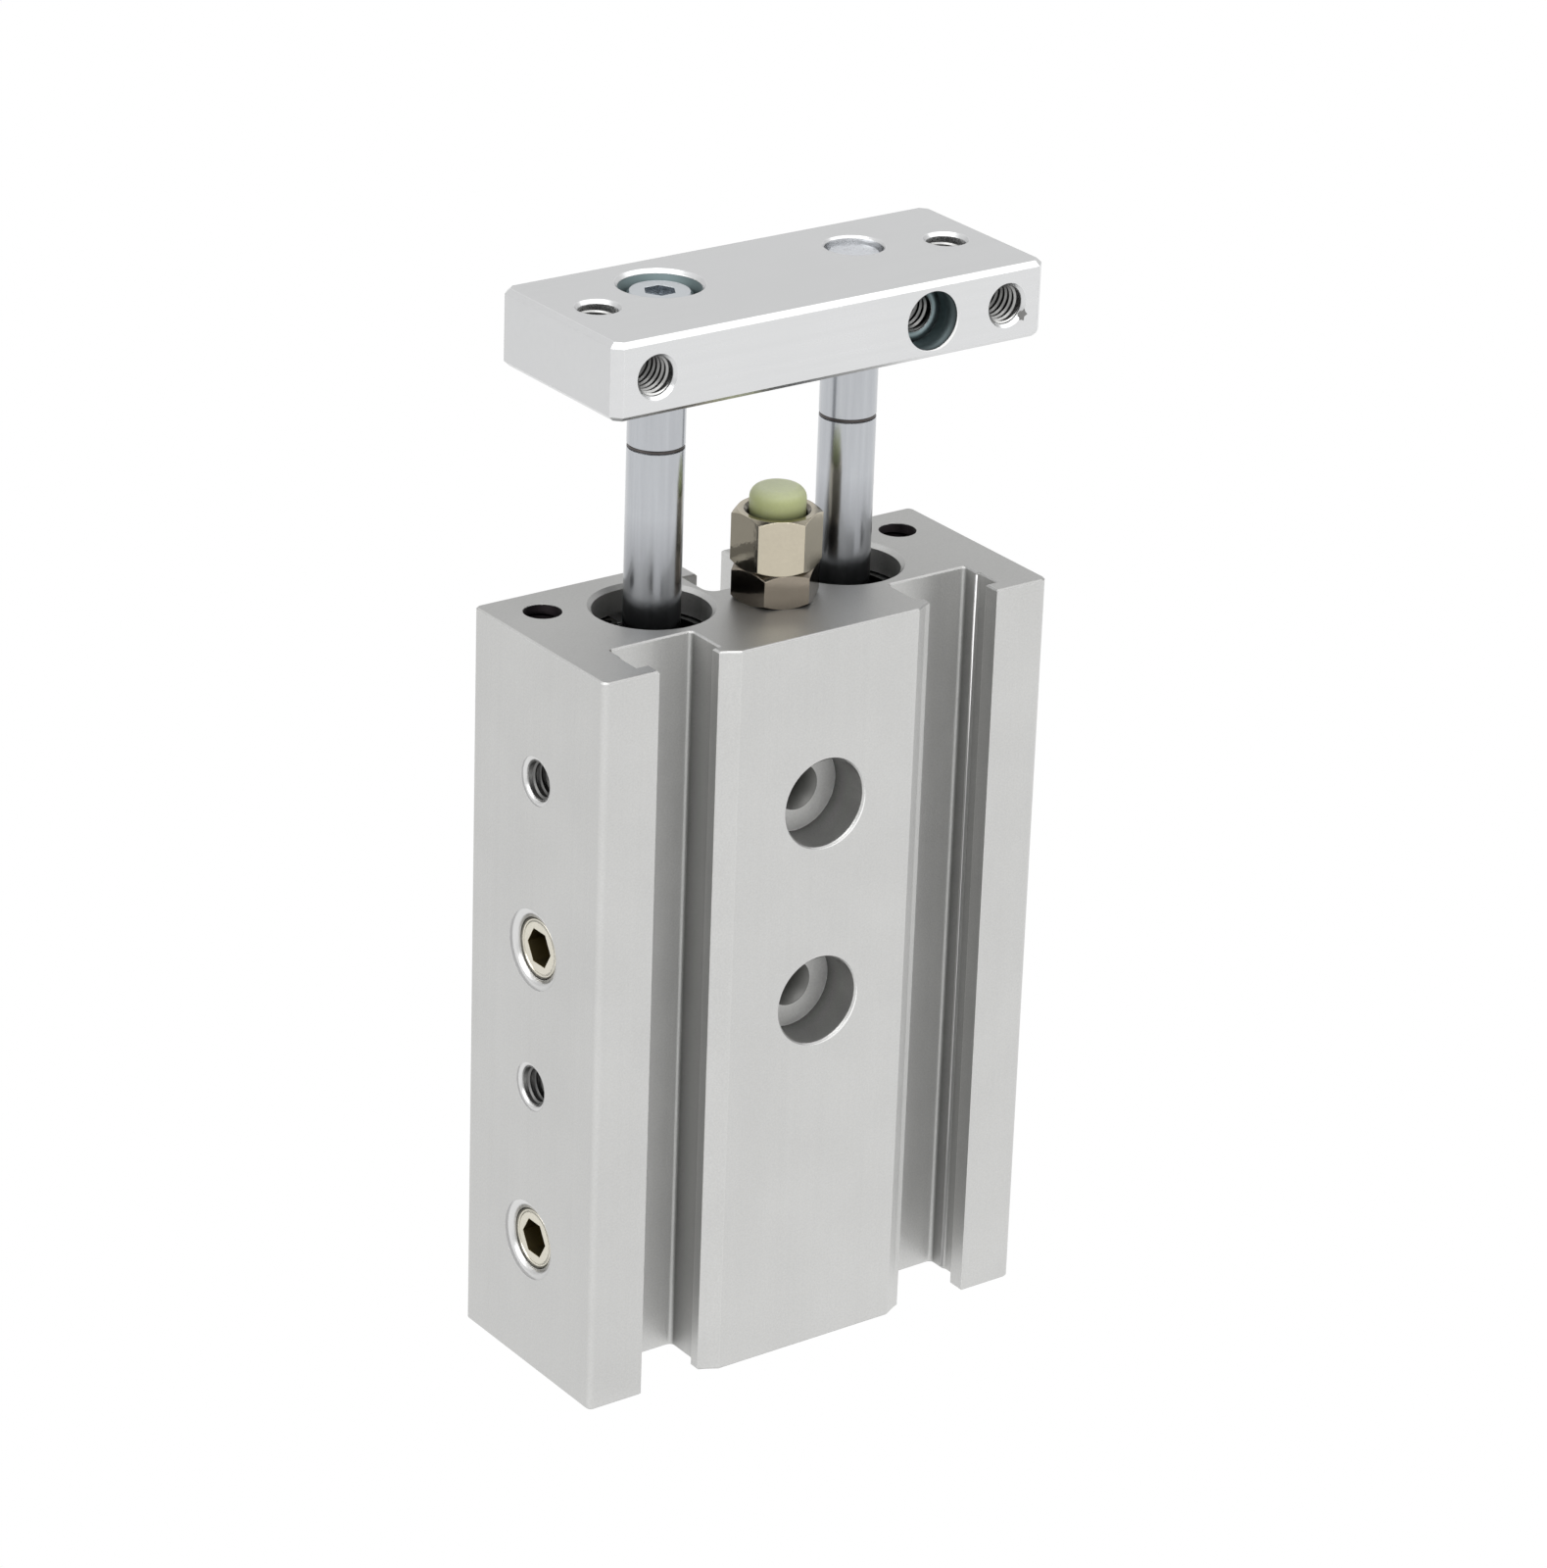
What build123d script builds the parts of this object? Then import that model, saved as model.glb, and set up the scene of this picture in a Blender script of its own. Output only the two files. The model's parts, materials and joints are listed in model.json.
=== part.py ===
from build123d import *
import os

os.makedirs("parts", exist_ok=True)

# Guided pneumatic cylinder: two parallel bores in one aluminium body drive one end plate.
# Millimetres, with +Z along the rods and the origin at the middle of the body's lower end face.
# The front, with the two sensor grooves and the through holes, faces -Y.
# The rods are drawn fully extended, and travel down by the stroke.

# Body
stroke = 10.0
body_length_without_stroke = 45.0
body_width = 37.0
body_depth = 16.0
body_edge_radius = 0.5
body_end_chamfer = 0.12
body_height = body_length_without_stroke + stroke

# Bores and rods
bore_diameter = 6.0
rod_diameter = 4.0
rod_pitch = 16.0
rod_offset = 1.9  # the bores lie this far behind the middle of the body
running_clearance = 0.04  # radial, between a sliding piece and its bore
fit_clearance = 0.03  # radial, between a fixed piece and its seat
mouth_chamfer = 0.3

# Rod end of each bore, from its shoulder up to the end face
rod_seat_step = 1.15  # radial step from the bore to the rod cover's seat
rod_end_depth = 21.0  # from the end face down to the shoulder
seal_length = 3.0
retainer_length = 3.0
retainer_bore_gap = 0.4

# Head end of each bore
head_seat_step = 0.6
head_seat_depth = 8.0
damper_diameter = 4.4
damper_seat_depth = 1.0

# Retaining rings in both ends
ring_thickness = 0.8
ring_play = 0.1
ring_band = 0.75
ring_groove_depth = 0.25
ring_opening = 1.3
ring_lug_radius = 0.65
ring_lug_hole_radius = 0.3
rod_ring_inset = 2.0
head_ring_inset = 0.8

# O-rings on both covers
o_ring_section = 1.0
o_ring_groove_width = 1.3
rod_cover_groove_height = 3.5
head_cover_groove_height = 2.2

# Pistons
piston_length = 7.1
piston_seal_section = 1.0
piston_seal_groove_width = 1.3
piston_seal_height = 4.4
magnet_length = 2.0
magnet_holder_length = 1.1
magnet_rim = 0.25
spigot_diameter = 2.4
front_damper_length = 2.5
front_damper_wall = 0.5
damper_gap = 0.15
end_gap = 0.1
head_damper_gap = 0.3

# Sensor grooves in the front
groove_floor_wall = 0.95  # metal left between the groove and the rod cover's seat
groove_inner_x = 8.25
groove_width = 6.65
groove_inner_lip = 0.55
groove_outer_lip = 0.8
groove_inner_lip_top = 0.7
groove_inner_lip_depth = 0.8
groove_outer_lip_depth = 1.3
groove_ledge = 0.15
groove_ledge_height = 1.3
groove_ledge_slope = 0.3
groove_floor_fillet = 0.3
land_bevel_width = 0.9
land_bevel_depth = 0.5
land_step = 0.5

# Slot in the back
slot_mouth_width = 4.1
slot_inner_width = 6.4
slot_depth = 6.1
slot_lip_depth = 2.9
slot_corner_radius = 0.8

# Threads are drawn as plain cylinders at their pitch diameter
m25_pitch_diameter = 2.2
m3_pitch_diameter = 2.68
m5_pitch_diameter = 4.48
thread_clearance = 0.02
m3_countersink = 3.6
m5_countersink = 5.9
side_cone_angle = 120
right_side_allowance = 0.01  # the right side's tapped holes are this much wider in radius

# Holes in the body
through_hole_diameter = 3.4
through_hole_counterbore = 6.5
through_hole_counterbore_depth = 3.3
through_hole_chamfer = 0.12
through_hole_pitch = 15.0
through_hole_from_top = 12.85
side_hole_depth = 4.0
side_hole_low = 21.9
side_hole_from_top = 10.0
port_depth = 4.4
port_low = 9.9
port_from_top = 22.6
cross_drill_diameter = 1.5
end_hole_x = 15.0
end_hole_y = 4.8
end_hole_depth = 4.5

# Port plugs
plug_length = 3.5
plug_recess = 0.5
plug_socket = 2.5
plug_socket_depth = 1.9
plug_chamfer = 0.35

# Bumper bolt, its lock nut and cushion
bolt_x = 0.35
bolt_y = -0.8
hex_across_flats = 5.5
hex_corner_chamfer = 0.3
lock_nut_height = 2.4
lock_nut_turn = 41.5
bolt_head_height = 3.95
bolt_head_turn = 31.0
bolt_length = 10.0
bolt_hole_depth = 10.0
cushion_diameter = 3.95
cushion_proud = 1.75
cushion_seat_depth = 1.5
cushion_seat_chamfer = 0.33
cushion_round = 0.55
bumper_setting = 0.5  # the bolt is set to take this much off the stroke
landing_gap = 0.1

# End plate and its screws
plate_width = 35.2
plate_depth = 13.9
plate_thickness = 5.4
plate_y = -0.25
plate_chamfer = 0.35
plate_corner_chamfer = 0.65
plate_hole_x = 14.3
plate_hole_y = -0.1
plate_hole_countersink = 3.2
plate_front_hole_depth = 4.2
rod_seat_in_plate = 1.0
rod_end_inset = 0.45
rod_end_chamfer = 0.3
left_rod_mark_drop = 6.1
right_rod_mark_drop = 6.8
rod_mark_width = 0.3
rod_mark_depth = 0.12
rod_hole_chamfer = 0.15
cap_counterbore_diameter = 5.7
cap_counterbore_chamfer = 0.25
cap_counterbore_depth = 3.0
cap_head_diameter = 4.5
cap_head_height = 2.5
cap_head_chamfer = 0.2
cap_socket = 2.0
cap_socket_depth = 1.1
cap_screw_length = 8.0
cap_hole_clearance = 0.2
clamp_counterbore_diameter = 4.15
clamp_counterbore_depth = 2.0
clamp_screw_length = 3.0
clamp_socket = 1.5
clamp_socket_depth = 1.2

# Heights and radii that follow from the sizes above
bore_radius = bore_diameter / 2
rod_radius = rod_diameter / 2
rod_seat_radius = bore_radius + rod_seat_step
head_seat_radius = bore_radius + head_seat_step
rod_shoulder_z = body_height - rod_end_depth
rod_ring_z = body_height - rod_ring_inset - ring_thickness - ring_play
head_ring_z = head_ring_inset
head_cover_z = head_ring_z + ring_play + ring_thickness
retainer_z = rod_ring_z - retainer_length
seal_z = retainer_z - seal_length
piston_top_z = rod_shoulder_z - front_damper_length - end_gap
piston_z = piston_top_z - piston_length
magnet_z = piston_z - magnet_length
magnet_holder_z = magnet_z - magnet_holder_length
head_damper_top_z = magnet_holder_z - stroke - head_damper_gap
bolt_head_z = body_height + lock_nut_height
cushion_top_z = bolt_head_z + bolt_head_height + cushion_proud
plate_z = cushion_top_z + landing_gap + stroke - bumper_setting
plate_top_z = plate_z + plate_thickness
plate_middle_z = plate_z + plate_thickness / 2
groove_floor_y = rod_offset - rod_seat_radius - groove_floor_wall
groove_outer_x = groove_inner_x + groove_width

# The two bores, and the planes that the rest is drawn on
bore_centres = {"left": -rod_pitch / 2, "right": rod_pitch / 2}
front_face = Plane(origin=(0, -body_depth / 2, 0), x_dir=(1, 0, 0), z_dir=(0, -1, 0))
left_face = Plane(origin=(-body_width / 2, 0, 0), x_dir=(0, -1, 0), z_dir=(-1, 0, 0))
right_face = Plane(origin=(body_width / 2, 0, 0), x_dir=(0, 1, 0), z_dir=(1, 0, 0))
plate_front = Plane(origin=(0, plate_y - plate_depth / 2, 0), x_dir=(1, 0, 0), z_dir=(0, -1, 0))
from_corner = (Align.MIN, Align.MIN)
on_axis = (Align.CENTER, Align.CENTER, Align.MIN)


def bore_section(centre_x):
    # Half section through one bore: local X is the radius, local Y is the height.
    return Plane(origin=(centre_x, rod_offset, 0), x_dir=(1, 0, 0), z_dir=(0, -1, 0))


def bore_axis(centre_x):
    return Axis((centre_x, rod_offset, 0), (0, 0, 1))


# Body
# The outline is the extruded bar: grooves for sensors in the front, a slot in the back.
with BuildPart() as housing:
    with BuildSketch() as bar:
        RectangleRounded(body_width, body_depth, body_edge_radius)
        front_y = -body_depth / 2
        lip_x = groove_inner_x + groove_inner_lip
        lip_y = front_y + groove_inner_lip_top
        with BuildLine() as right_groove:
            Polyline(
                (lip_x - land_step - land_bevel_width, front_y),
                (lip_x - land_step, front_y + land_bevel_depth),
                (lip_x, lip_y),
                (lip_x, lip_y + groove_inner_lip_depth),
                (groove_inner_x, lip_y + groove_inner_lip_depth),
                (groove_inner_x, groove_floor_y),
                (groove_outer_x, groove_floor_y),
                (groove_outer_x, groove_floor_y - groove_ledge_height),
                (groove_outer_x + groove_ledge, groove_floor_y - groove_ledge_height - groove_ledge_slope),
                (groove_outer_x + groove_ledge, front_y + groove_outer_lip_depth),
                (groove_outer_x - groove_outer_lip, front_y + groove_outer_lip_depth),
                (groove_outer_x - groove_outer_lip, front_y),
                close=True,
            )
        groove_face = make_face(mode=Mode.PRIVATE)
        add(groove_face, mode=Mode.SUBTRACT)
        mirror(groove_face, about=Plane.YZ, mode=Mode.SUBTRACT)
        floor_corners = bar.vertices().filter_by_position(
            Axis.Y, groove_floor_y - 0.01, groove_floor_y + 0.01
        )
        fillet(floor_corners, groove_floor_fillet)
        back_y = body_depth / 2
        with Locations((0, back_y)):
            Rectangle(slot_mouth_width, slot_depth, align=(Align.CENTER, Align.MAX), mode=Mode.SUBTRACT)
        with Locations((0, back_y - slot_depth)):
            Rectangle(
                slot_inner_width,
                slot_depth - slot_lip_depth,
                align=(Align.CENTER, Align.MIN),
                mode=Mode.SUBTRACT,
            )
        slot_corners = bar.vertices().filter_by_position(
            Axis.Y, back_y - slot_depth - 0.01, back_y - slot_depth + 0.01
        )
        fillet(slot_corners, slot_corner_radius)
    extrude(amount=body_height)
    end_edges = housing.edges().group_by(Axis.Z)[0] + housing.edges().group_by(Axis.Z)[-1]
    chamfer(end_edges, body_end_chamfer)

    # Each bore with the seats for its covers and the grooves for its retaining rings.
    for centre_x in bore_centres.values():
        with BuildSketch(bore_section(centre_x)):
            Rectangle(bore_radius, body_height, align=from_corner)
            with Locations((0, rod_shoulder_z)):
                Rectangle(rod_seat_radius, rod_end_depth, align=from_corner)
            Rectangle(head_seat_radius, head_seat_depth, align=from_corner)
            with Locations((0, rod_ring_z)):
                Rectangle(
                    rod_seat_radius + ring_groove_depth, ring_thickness + ring_play, align=from_corner
                )
            with Locations((0, head_ring_z)):
                Rectangle(
                    head_seat_radius + ring_groove_depth, ring_thickness + ring_play, align=from_corner
                )
        revolve(axis=bore_axis(centre_x), mode=Mode.SUBTRACT)
    mouths = housing.edges().filter_by(GeomType.CIRCLE)
    chamfer(
        mouths.filter_by(lambda edge: abs(edge.radius - rod_seat_radius) < 0.01).group_by(Axis.Z)[-1]
        + mouths.filter_by(lambda edge: abs(edge.radius - head_seat_radius) < 0.01).group_by(Axis.Z)[0],
        mouth_chamfer,
    )

    # Through holes for mounting from the front.
    with Locations(front_face):
        for height in (0, -through_hole_pitch):
            with Locations((0, body_height - through_hole_from_top + height)):
                CounterBoreHole(
                    through_hole_diameter / 2, through_hole_counterbore / 2, through_hole_counterbore_depth
                )
    counterbore_rims = housing.edges().filter_by(GeomType.CIRCLE).filter_by(
        lambda edge: abs(edge.radius - through_hole_counterbore / 2) < 0.01
    )
    chamfer(counterbore_rims.group_by(Axis.Y)[0], through_hole_chamfer)

    # Tapped mounting holes and ports in both sides, and the drillings that join port and bores.
    for face, allowance in ((left_face, 0), (right_face, right_side_allowance)):
        side_hole_radius = m3_pitch_diameter / 2 + thread_clearance + allowance
        port_radius = m5_pitch_diameter / 2 + thread_clearance + allowance
        with Locations(face):
            with Locations((0, side_hole_low), (0, body_height - side_hole_from_top)):
                CounterSinkHole(side_hole_radius, m3_countersink / 2, side_hole_depth, side_cone_angle)
            with Locations((0, port_low), (0, body_height - port_from_top)):
                CounterSinkHole(port_radius, m5_countersink / 2, port_depth, side_cone_angle)
    with Locations(right_face):
        with Locations((0, port_low), (0, body_height - port_from_top)):
            Hole(cross_drill_diameter / 2, body_width - port_depth / 2)

    # Holes in the rod end face: two for mounting, one tapped for the bumper bolt.
    with Locations(Plane.XY.offset(body_height)):
        with Locations((-end_hole_x, end_hole_y), (end_hole_x, end_hole_y)):
            Hole(m3_pitch_diameter / 2 + thread_clearance, end_hole_depth)
        with Locations((bolt_x, bolt_y)):
            Hole(m3_pitch_diameter / 2 + thread_clearance, bolt_hole_depth)

housing.part.label = "housing"
export_step(housing.part, "parts/housing.step")


def make_retaining_ring(label, centre_x, height, seat_radius):
    # An internal circlip: an open band with two eyed lugs, its opening towards the back.
    outer_radius = seat_radius + ring_groove_depth - fit_clearance
    with BuildPart() as ring:
        with BuildSketch(Plane(origin=(centre_x, rod_offset, height))):
            Circle(outer_radius)
            Circle(outer_radius - ring_band, mode=Mode.SUBTRACT)
            lug_x = ring_opening / 2 + ring_lug_radius
            lug_y = ((outer_radius - ring_band) ** 2 - lug_x**2) ** 0.5
            with Locations((-lug_x, lug_y), (lug_x, lug_y)):
                Circle(ring_lug_radius)
                Circle(ring_lug_hole_radius, mode=Mode.SUBTRACT)
            Rectangle(ring_opening, outer_radius * 2, align=(Align.CENTER, Align.MIN), mode=Mode.SUBTRACT)
        extrude(amount=ring_thickness)
    ring.part.label = label
    export_step(ring.part, f"parts/{label}.step")


def make_o_ring(label, centre_x, height, outer_radius, section):
    # Squeezed into its groove, with flats where it seals, so the section is eight-sided.
    with BuildPart() as o_ring:
        with BuildSketch(bore_section(centre_x)):
            with Locations((outer_radius - section / 2, height)):
                RegularPolygon(section / 2, 8, major_radius=False, rotation=22.5)
        revolve(axis=bore_axis(centre_x))
    o_ring.part.label = label
    export_step(o_ring.part, f"parts/{label}.step")


# Pieces that fill each bore, one set on the left and one on the right
for side, centre_x in bore_centres.items():
    section = bore_section(centre_x)
    axis = bore_axis(centre_x)

    # Rod cover: the long bush that guides the rod, with an O-ring groove outside.
    cover_radius = rod_seat_radius - fit_clearance
    cover_groove_radius = cover_radius - o_ring_section
    cover_groove_z = rod_shoulder_z + rod_cover_groove_height
    with BuildPart() as rod_cover:
        with BuildSketch(section):
            with Locations((rod_radius + running_clearance, rod_shoulder_z)):
                Rectangle(
                    cover_radius - rod_radius - running_clearance, seal_z - rod_shoulder_z, align=from_corner
                )
            with Locations((cover_groove_radius, cover_groove_z)):
                Rectangle(o_ring_section, o_ring_groove_width, align=from_corner, mode=Mode.SUBTRACT)
        revolve(axis=axis)
        chamfer(rod_cover.edges().group_by(Axis.Z)[0].sort_by(SortBy.LENGTH)[-1], 0.3)
    rod_cover.part.label = f"rod_cover_{side}"
    export_step(rod_cover.part, f"parts/rod_cover_{side}.step")

    make_o_ring(
        f"rod_cover_o_ring_{side}",
        centre_x,
        cover_groove_z + o_ring_groove_width / 2,
        cover_radius,
        o_ring_section,
    )

    # Rod seal: a cup with its two lips towards the pressure.
    with BuildPart() as rod_seal:
        with BuildSketch(section):
            inner = rod_radius + running_clearance
            outer = rod_seat_radius - fit_clearance
            middle = (inner + outer) / 2
            with BuildLine():
                Polyline(
                    (inner, seal_z),
                    (middle - 0.35, seal_z),
                    (middle, seal_z + seal_length * 0.45),
                    (middle + 0.35, seal_z),
                    (outer, seal_z),
                    (outer, seal_z + seal_length),
                    (inner, seal_z + seal_length),
                    close=True,
                )
            make_face()
        revolve(axis=axis)
    rod_seal.part.label = f"rod_seal_{side}"
    export_step(rod_seal.part, f"parts/rod_seal_{side}.step")

    with BuildPart() as seal_retainer:
        with BuildSketch(section):
            with Locations((rod_radius + retainer_bore_gap, retainer_z)):
                Rectangle(
                    rod_seat_radius - fit_clearance - rod_radius - retainer_bore_gap,
                    retainer_length,
                    align=from_corner,
                )
        revolve(axis=axis)
        chamfer(seal_retainer.edges().group_by(Axis.Z)[-1].sort_by(SortBy.LENGTH)[0], 0.4)
    seal_retainer.part.label = f"seal_retainer_{side}"
    export_step(seal_retainer.part, f"parts/seal_retainer_{side}.step")

    make_retaining_ring(f"rod_end_ring_{side}", centre_x, rod_ring_z, rod_seat_radius)

    # Damper ring on the rod cover, that the extended piston lands on.
    with BuildPart() as front_damper:
        with BuildSketch(section):
            with Locations((rod_radius + damper_gap, piston_top_z + end_gap)):
                Rectangle(front_damper_wall, front_damper_length, align=from_corner)
        revolve(axis=axis)
    front_damper.part.label = f"rod_end_damper_{side}"
    export_step(front_damper.part, f"parts/rod_end_damper_{side}.step")

    # Piston with its seal, and the magnet that the sensors feel, clamped by a threaded holder.
    piston_radius = bore_radius - running_clearance
    spigot_hole = spigot_diameter / 2 + thread_clearance
    seal_groove_radius = piston_radius - piston_seal_section
    seal_groove_z = piston_z + piston_seal_height - piston_seal_groove_width / 2
    with BuildPart() as piston:
        with BuildSketch(section):
            with Locations((spigot_hole, piston_z)):
                Rectangle(piston_radius - spigot_hole, piston_length, align=from_corner)
            with Locations((seal_groove_radius, seal_groove_z)):
                Rectangle(
                    piston_seal_section, piston_seal_groove_width, align=from_corner, mode=Mode.SUBTRACT
                )
        revolve(axis=axis)
    piston.part.label = f"piston_{side}"
    export_step(piston.part, f"parts/piston_{side}.step")

    make_o_ring(
        f"piston_seal_{side}",
        centre_x,
        piston_z + piston_seal_height,
        piston_radius,
        piston_seal_section,
    )

    with BuildPart() as magnet:
        with BuildSketch(Plane(origin=(centre_x, rod_offset, magnet_z))):
            Circle(piston_radius - magnet_rim)
            Circle(spigot_hole, mode=Mode.SUBTRACT)
        extrude(amount=magnet_length)
    magnet.part.label = f"magnet_{side}"
    export_step(magnet.part, f"parts/magnet_{side}.step")

    with BuildPart() as magnet_holder:
        with BuildSketch(Plane(origin=(centre_x, rod_offset, magnet_holder_z))):
            Circle(piston_radius)
            Circle(spigot_hole, mode=Mode.SUBTRACT)
        extrude(amount=magnet_holder_length)
    magnet_holder.part.label = f"magnet_holder_{side}"
    export_step(magnet_holder.part, f"parts/magnet_holder_{side}.step")

    # Head cover: closes the lower end, with an O-ring outside and a damper pad on top.
    head_cover_radius = head_seat_radius - fit_clearance
    head_groove_z = head_cover_z + head_cover_groove_height
    with BuildPart() as head_cover:
        with BuildSketch(section):
            with Locations((0, head_cover_z)):
                Rectangle(head_cover_radius, head_seat_depth - head_cover_z, align=from_corner)
            with Locations((head_cover_radius - o_ring_section, head_groove_z)):
                Rectangle(o_ring_section, o_ring_groove_width, align=from_corner, mode=Mode.SUBTRACT)
            with Locations((0, head_seat_depth - damper_seat_depth)):
                Rectangle(
                    damper_diameter / 2 + fit_clearance,
                    damper_seat_depth,
                    align=from_corner,
                    mode=Mode.SUBTRACT,
                )
        revolve(axis=axis)
        chamfer(head_cover.edges().group_by(Axis.Z)[0], mouth_chamfer)
    head_cover.part.label = f"head_cover_{side}"
    export_step(head_cover.part, f"parts/head_cover_{side}.step")

    make_o_ring(
        f"head_cover_o_ring_{side}",
        centre_x,
        head_groove_z + o_ring_groove_width / 2,
        head_cover_radius,
        o_ring_section,
    )
    make_retaining_ring(f"head_end_ring_{side}", centre_x, head_ring_z, head_seat_radius)

    with BuildPart() as head_damper:
        damper_z = head_seat_depth - damper_seat_depth
        with BuildSketch(Plane(origin=(centre_x, rod_offset, damper_z))):
            Circle(damper_diameter / 2)
        extrude(amount=head_damper_top_z - damper_z)
        chamfer(head_damper.edges().group_by(Axis.Z)[-1], 0.3)
    head_damper.part.label = f"head_end_damper_{side}"
    export_step(head_damper.part, f"parts/head_end_damper_{side}.step")


def turn_rod(centre_x, top_z, mark_drop):
    # Polished rod from the piston to the plate, with a thin marking groove under the plate.
    with BuildPart() as rod:
        with BuildSketch(bore_section(centre_x)):
            with Locations((0, piston_top_z)):
                Rectangle(rod_radius, top_z - piston_top_z, align=from_corner)
            with Locations((0, magnet_holder_z)):
                Rectangle(spigot_diameter / 2, piston_top_z - magnet_holder_z, align=from_corner)
            with Locations((rod_radius - rod_mark_depth, plate_z - mark_drop)):
                Rectangle(rod_mark_depth, rod_mark_width, align=from_corner, mode=Mode.SUBTRACT)
        revolve(axis=bore_axis(centre_x))
        chamfer(rod.edges().group_by(Axis.Z)[-1], rod_end_chamfer)
    return rod.part


# Rods: the left one is drawn up by a cap screw, the right one passes through and is clamped
left_x = bore_centres["left"]
right_x = bore_centres["right"]
left_rod_top_z = plate_z + rod_seat_in_plate
cap_seat_z = plate_top_z - cap_counterbore_depth
cap_tip_z = cap_seat_z - cap_screw_length

left_rod_blank = turn_rod(left_x, left_rod_top_z, left_rod_mark_drop)
with BuildPart() as rod_left:
    add(left_rod_blank)
    with Locations((left_x, rod_offset, left_rod_top_z)):
        Hole(m25_pitch_diameter / 2 + thread_clearance, left_rod_top_z - cap_tip_z + 0.5)
rod_left.part.label = "rod_left"
export_step(rod_left.part, "parts/rod_left.step")

right_rod_blank = turn_rod(right_x, plate_top_z - rod_end_inset, right_rod_mark_drop)
with BuildPart() as rod_right:
    add(right_rod_blank)
rod_right.part.label = "rod_right"
export_step(rod_right.part, "parts/rod_right.step")

# End plate
with BuildPart() as end_plate:
    with Locations((0, plate_y, plate_z)):
        Box(plate_width, plate_depth, plate_thickness, align=on_axis)
    chamfer(end_plate.edges().filter_by(Axis.Z), plate_corner_chamfer)
    rims = end_plate.edges().group_by(Axis.Z)[0] + end_plate.edges().group_by(Axis.Z)[-1]
    chamfer(rims, plate_chamfer)
    with Locations((left_x, rod_offset, plate_top_z)):
        CounterBoreHole(
            m25_pitch_diameter / 2 + cap_hole_clearance,
            cap_counterbore_diameter / 2,
            cap_counterbore_depth,
        )
    with Locations((left_x, rod_offset, left_rod_top_z)):
        Hole(rod_radius + fit_clearance, rod_seat_in_plate)
    with Locations((right_x, rod_offset, plate_top_z)):
        Hole(rod_radius + fit_clearance)
    with Locations((-plate_hole_x, plate_hole_y, plate_top_z), (plate_hole_x, plate_hole_y, plate_top_z)):
        CounterSinkHole(
            m3_pitch_diameter / 2 + thread_clearance, plate_hole_countersink / 2, counter_sink_angle=90
        )
    mouths = end_plate.edges().filter_by(GeomType.CIRCLE).group_by(Axis.Z)[-1]
    chamfer(
        mouths.filter_by(lambda edge: abs(edge.radius - cap_counterbore_diameter / 2) < 0.01),
        cap_counterbore_chamfer,
    )
    chamfer(
        mouths.filter_by(lambda edge: abs(edge.radius - rod_radius - fit_clearance) < 0.01),
        rod_hole_chamfer,
    )
    with Locations(plate_front):
        with Locations((-plate_hole_x, plate_middle_z), (plate_hole_x, plate_middle_z)):
            CounterSinkHole(
                m3_pitch_diameter / 2 + thread_clearance,
                plate_hole_countersink / 2,
                plate_front_hole_depth,
                90,
            )
        with Locations((right_x, plate_middle_z)):
            CounterBoreHole(
                m3_pitch_diameter / 2 + thread_clearance,
                clamp_counterbore_diameter / 2,
                clamp_counterbore_depth,
                plate_depth / 2 - plate_y + rod_offset,
            )
end_plate.part.label = "end_plate"
export_step(end_plate.part, "parts/end_plate.step")

# Cap screw that draws the left rod into the plate
with BuildPart() as cap_screw:
    with BuildSketch(Plane(origin=(left_x, rod_offset, cap_seat_z))):
        Circle(cap_head_diameter / 2)
    extrude(amount=cap_head_height)
    chamfer(cap_screw.edges().group_by(Axis.Z)[-1], cap_head_chamfer)
    with BuildSketch(Plane(origin=(left_x, rod_offset, cap_tip_z))):
        Circle(m25_pitch_diameter / 2)
    extrude(amount=cap_screw_length)
    with BuildSketch(Plane(origin=(left_x, rod_offset, cap_seat_z + cap_head_height))):
        RegularPolygon(cap_socket / 2, 6, major_radius=False)
    extrude(amount=-cap_socket_depth, mode=Mode.SUBTRACT)
cap_screw.part.label = "cap_screw"
export_step(cap_screw.part, "parts/cap_screw.step")

# Set screw that clamps the right rod
clamp_tip_y = rod_offset - rod_radius - 0.05
with BuildPart() as clamp_screw:
    clamp_tip = (right_x, clamp_tip_y, plate_middle_z)
    with BuildSketch(Plane(origin=clamp_tip, x_dir=(1, 0, 0), z_dir=(0, -1, 0))):
        Circle(m3_pitch_diameter / 2)
    extrude(amount=clamp_screw_length)
    clamp_socket_plane = Plane(
        origin=(right_x, clamp_tip_y - clamp_screw_length, plate_middle_z), x_dir=(1, 0, 0), z_dir=(0, -1, 0)
    )
    with BuildSketch(clamp_socket_plane):
        RegularPolygon(clamp_socket / 2, 6, major_radius=False)
    extrude(amount=-clamp_socket_depth, mode=Mode.SUBTRACT)
clamp_screw.part.label = "clamp_screw"
export_step(clamp_screw.part, "parts/clamp_screw.step")


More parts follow.
